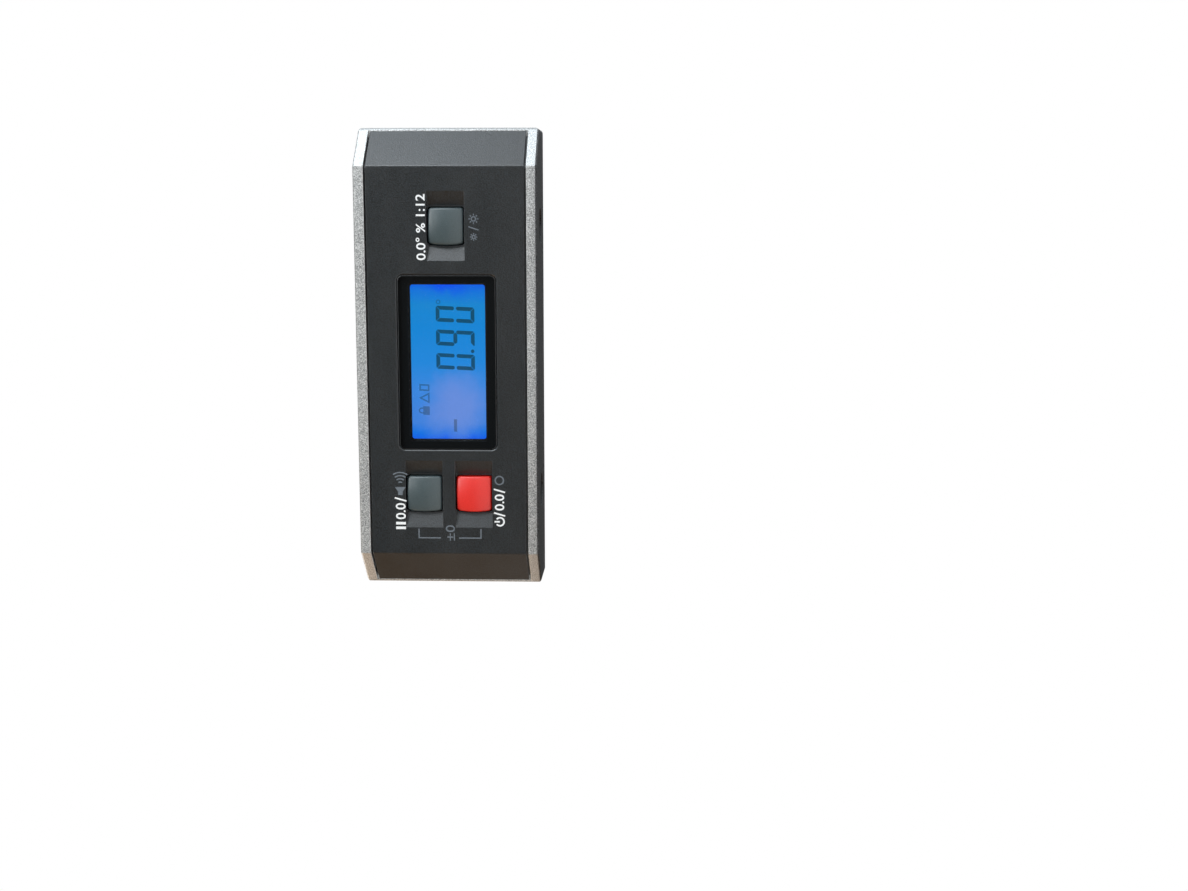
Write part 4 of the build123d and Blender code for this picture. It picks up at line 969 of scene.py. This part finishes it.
# %% Finish: shrunk sleeve
BAND_START = 12.5 * MM
sleeve, tree, shader = new_finish("cell_sleeve", {"Metallic": 0.35, "Coat Weight": 0.5})
position = add(tree, "ShaderNodeTexCoord").outputs["Object"]
parts = add(tree, "ShaderNodeSeparateXYZ", {0: position}).outputs
low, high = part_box("battery_cells")
below = add(tree, "ShaderNodeMath", {0: (low.z + high.z) / 2, 1: parts["Z"]}, operation="SUBTRACT")
way = add(tree, "ShaderNodeMath", {0: below.outputs[0]}, operation="SIGN").outputs[0]
middle = add(tree, "ShaderNodeMath", {0: parts["X"], 1: (low.x + high.x) / 2}, operation="SUBTRACT")
towards = add(tree, "ShaderNodeMath", {0: middle.outputs[0], 1: way},
              operation="MULTIPLY").outputs[0]
band = add(tree, "ShaderNodeMath", {0: towards, 1: BAND_START}, operation="GREATER_THAN").outputs[0]
speck = place(tree, GRAIN, {"Size": 0.4 * MM, "Spread": 0.3})
body_colour = blend(tree, speck, shade(24, 74, 104), shade(34, 90, 122))
band_colour = blend(tree, speck, shade(186, 188, 190), shade(206, 208, 210))
tree.links.new(blend(tree, band, body_colour, band_colour), shader.inputs["Base Color"])
tree.links.new(place(tree, MARKS, {"Low": 0.22, "High": 0.34}), shader.inputs["Roughness"])
print("finish:", sleeve.name)

# %% Turn the two cells
CELL_LENGTH, CELL_RADIUS = 44.5, 5.25
SLEEVE_ROWS = range(3, 12)
CELL_PROFILE = [
    (0.0, 0.0), (0.0, 2.9), (0.12, 3.1), (0.12, 4.4), (0.0, 4.62), (0.08, 4.98), (0.34, 5.2),
    (0.7, CELL_RADIUS), (42.6, CELL_RADIUS), (43.0, 5.2), (43.3, 4.95), (43.42, 4.55), (43.3, 4.2),
    (43.3, 2.3), (43.6, 2.0), (43.62, 1.9), (44.3, 1.88), (44.46, 1.72), (CELL_LENGTH, 1.4),
    (CELL_LENGTH, 0.0),
]


def make_turned_cell(form, z, side):
    """A cell turned round its axis, with its raised end on one side of the level."""
    low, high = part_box("battery_cells")
    flat_end = (high.x / MM - CELL_LENGTH) if side > 0 else (low.x / MM + CELL_LENGTH)
    axis = (low.y + high.y) / 2
    count, rows = 48, []
    for along, radius in CELL_PROFILE:
        x = (flat_end + side * along) * MM
        if radius == 0:
            rows.append([form.verts.new((x, axis, z))])
            continue
        turns = [2 * math.pi * number / count for number in range(count)]
        rows.append([form.verts.new((x, axis + radius * MM * math.sin(turn),
                                     z + radius * MM * math.cos(turn))) for turn in turns])
    for number, (near, after) in enumerate(zip(rows, rows[1:])):
        for step in range(count):
            quad = [near[step % len(near)], near[(step + 1) % len(near)],
                    after[(step + 1) % len(after)], after[step % len(after)]]
            face = form.faces.new(list(dict.fromkeys(quad)))
            face.material_index = 1 if number in SLEEVE_ROWS else 0


low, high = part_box("battery_cells")
form = bmesh.new()
make_turned_cell(form, high.z - CELL_RADIUS * MM, -1)
make_turned_cell(form, low.z + CELL_RADIUS * MM, 1)
cells = finish_piece("sleeved_cells", form, [steel, sleeve], "case", smooth=True)
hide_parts("battery_cells")

# %% [markdown]
# ## Floor, light and background
#
# The level stands on its base on a plain pale floor. The camera of the main view looks from just
# below that floor, so the floor shows only its upper side: seen from behind it is clear. It is
# clear to shadow rays too, and to the very short rays between it and the base, because the base
# would else be black from below. Far out it fades into the white background. Four large soft lamps
# light the level: a cool one beyond the far end, which gives the sloped end its sheen, a warm one
# at the other end, and two above. Large lamps give soft shadows, and no small bright spot where
# they are mirrored.

# %% One-sided floor
FLOOR_HALF, FLOOR_GAP, FADE_START, FADE_END, SHORT_RAY = 3.0, 0.0002, 0.3, 1.0, 0.002
floor_finish, tree, shader = new_finish("floor_paper", {
    "Roughness": 0.9, "Specular IOR Level": 0.1,
})
speck = place(tree, GRAIN, {"Size": 0.002, "Spread": 0.3})
tree.links.new(blend(tree, speck, shade(220, 221, 222), shade(226, 227, 228)),
               shader.inputs["Base Color"])
behind = add(tree, "ShaderNodeNewGeometry").outputs["Backfacing"]
rays = add(tree, "ShaderNodeLightPath").outputs
close = add(tree, "ShaderNodeMath", {0: rays["Ray Length"], 1: SHORT_RAY},
            operation="LESS_THAN").outputs[0]
position = add(tree, "ShaderNodeTexCoord").outputs["Object"]
from_middle = add(tree, "ShaderNodeVectorMath", {0: position}, operation="LENGTH").outputs["Value"]
rim = add(tree, "ShaderNodeMapRange", {
    "Value": from_middle, "From Min": FADE_START, "From Max": FADE_END,
}, interpolation_type="SMOOTHSTEP").outputs["Result"]
faded = add(tree, "ShaderNodeMath", {0: rim, 1: rays["Is Camera Ray"]},
            operation="MULTIPLY").outputs[0]
open_to = behind
for reason in (rays["Is Shadow Ray"], close, faded):
    open_to = add(tree, "ShaderNodeMath", {0: open_to, 1: reason}, operation="MAXIMUM").outputs[0]
clear = add(tree, "ShaderNodeBsdfTransparent")
sides = add(tree, "ShaderNodeMixShader", {0: open_to, 1: shader.outputs[0], 2: clear.outputs[0]})
tree.links.new(sides.outputs[0], tree.nodes["Material Output"].inputs["Surface"])
form = bmesh.new()
bmesh.ops.create_grid(form, x_segments=24, y_segments=24, size=FLOOR_HALF)
bmesh.ops.translate(form, verts=form.verts, vec=(0, 0, -FLOOR_GAP))
mesh = bpy.data.meshes.new("floor")
form.to_mesh(mesh)
form.free()
mesh.materials.append(floor_finish)
floor = bpy.data.objects.new("floor", mesh)
scene.collection.objects.link(floor)
floor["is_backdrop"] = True
print("floor faces:", len(mesh.polygons))

# %% Soft lamps
def softbox(name, place_at, size, power, colour):
    """A large square lamp that looks at the level."""
    light = bpy.data.lights.new(name, "AREA")
    light.shape = "RECTANGLE"
    light.size, light.size_y = size
    light.energy = power
    light.color = colour
    lamp = bpy.data.objects.new(name, light)
    lamp.location = place_at
    aim = Vector((0.0, 0.0, 0.02)) - Vector(place_at)
    lamp.rotation_euler = aim.to_track_quat("-Z", "Y").to_euler()
    scene.collection.objects.link(lamp)
    return lamp


COOL, WARM = (0.9, 0.955, 1.0), (1.0, 0.78, 0.58)
FAINTLY_COOL, NEARLY_WHITE = (0.96, 0.99, 1.0), (0.98, 0.99, 1.0)
softbox("key_beyond_the_end", (0.75, -0.28, 0.34), (0.6, 0.6), 5.3, COOL)
softbox("warm_near_end", (-0.72, -0.06, 0.6), (0.5, 0.4), 4.1, WARM)
softbox("front_above", (0.3, -0.72, 0.72), (0.7, 0.55), 4.3, FAINTLY_COOL)
softbox("back_above", (-0.3, 0.8, 0.6), (1.1, 0.9), 4.0, NEARLY_WHITE)

# %% [markdown]
# The background is plain white to the camera. What lights the level from all round is softer:
# cooler and brighter beyond the far end, dimmer and warm at the near end. A ramp along x gives
# that, and it is simpler than a picture of a room. Metal and clear plastic see the same room, but
# darker in front of the display side, as it is where a camera stands close to a small thing.
# Without that dark patch the black cover and the window would look grey.

# %% World
world = bpy.data.worlds.new("studio")
scene.world = world
world.use_nodes = True
tree = world.node_tree
direction = add(tree, "ShaderNodeTexCoord").outputs["Generated"]
parts = add(tree, "ShaderNodeSeparateXYZ", {0: direction})
ends = add(tree, "ShaderNodeMapRange", {
    "Value": parts.outputs["X"], "From Min": -1.0, "From Max": 1.0,
})
room = add(tree, "ShaderNodeValToRGB", {"Fac": ends.outputs["Result"]})
room.color_ramp.elements[0].color = (0.32, 0.2, 0.11, 1)
room.color_ramp.elements[1].color = (0.82, 0.92, 1.0, 1)
room.color_ramp.elements.new(0.28).color = (0.12, 0.105, 0.09, 1)
room.color_ramp.elements.new(0.5).color = (0.3, 0.31, 0.32, 1)
room.color_ramp.elements.new(0.7).color = (0.56, 0.6, 0.63, 1)
rays = add(tree, "ShaderNodeLightPath").outputs
below = add(tree, "ShaderNodeMapRange", {
    "Value": parts.outputs["Z"], "From Min": -0.1, "From Max": 0.0, "To Min": 0.25, "To Max": 1.0})
ahead = add(tree, "ShaderNodeMapRange", {
    "Value": parts.outputs["Y"], "From Min": -0.97, "From Max": -0.84, "To Min": 0.34, "To Max": 1.0},
    interpolation_type="SMOOTHSTEP")
mirrored = add(tree, "ShaderNodeMath", {0: rays["Is Glossy Ray"], 1: rays["Is Transmission Ray"]},
               operation="MAXIMUM").outputs[0]
dark_patch = add(tree, "ShaderNodeMix", {0: mirrored, 2: 1.0, 3: ahead.outputs["Result"]},
                 data_type="FLOAT").outputs[0]
level = add(tree, "ShaderNodeMath", {0: dark_patch, 1: below.outputs["Result"]},
            operation="MULTIPLY").outputs[0]
dimmed = add(tree, "ShaderNodeVectorMath", {0: room.outputs["Color"], "Scale": level},
             operation="SCALE").outputs[0]
colour = blend(tree, rays["Is Camera Ray"], dimmed, (1, 1, 1, 1))
tree.links.new(colour, tree.nodes["Background"].inputs["Color"])
tree.nodes["Background"].inputs["Strength"].default_value = 1.0
print("world nodes:", len(tree.nodes))

# %% [markdown]
# ## Camera
#
# The camera's place and turn were worked out from the level's own corners in the picture, with its
# three directions written out as the columns of a matrix. It is rolled by a quarter turn, because
# the level is held upright in the main view.

# %% Camera
CAMERA_PLACE, SENSOR_WIDTH, FOCAL_LENGTH = (0.0361, -0.37323, -0.02677), 36.0, 48.48
camera = bpy.data.objects.new("camera", bpy.data.cameras.new("camera"))
scene.collection.objects.link(camera)
scene.camera = camera
right, up, back = (-0.0006, 0.0383, -0.9993), (0.9888, 0.1494, 0.0051), (0.1495, -0.9880, -0.0380)
turn = Matrix((right, up, back)).transposed().to_4x4()
camera.matrix_world = Matrix.Translation(CAMERA_PLACE) @ turn
camera.data.sensor_width = SENSOR_WIDTH
camera.data.lens = FOCAL_LENGTH
camera.data.clip_start = 0.01
scene.view_settings.view_transform = "Standard"
print("camera distance in mm:", round((camera.location - Vector((0, 0, 0.02))).length / MM, 1))

# %% [markdown]
# ## Measure
#
# The sizes of the solids and of the dressed level are both printed: the solids' near the top, and
# the dressed level's here.

# %% Print the dressed level's size
low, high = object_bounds()
print("visual size in mm:", [round(side / MM, 3) for side in high - low])
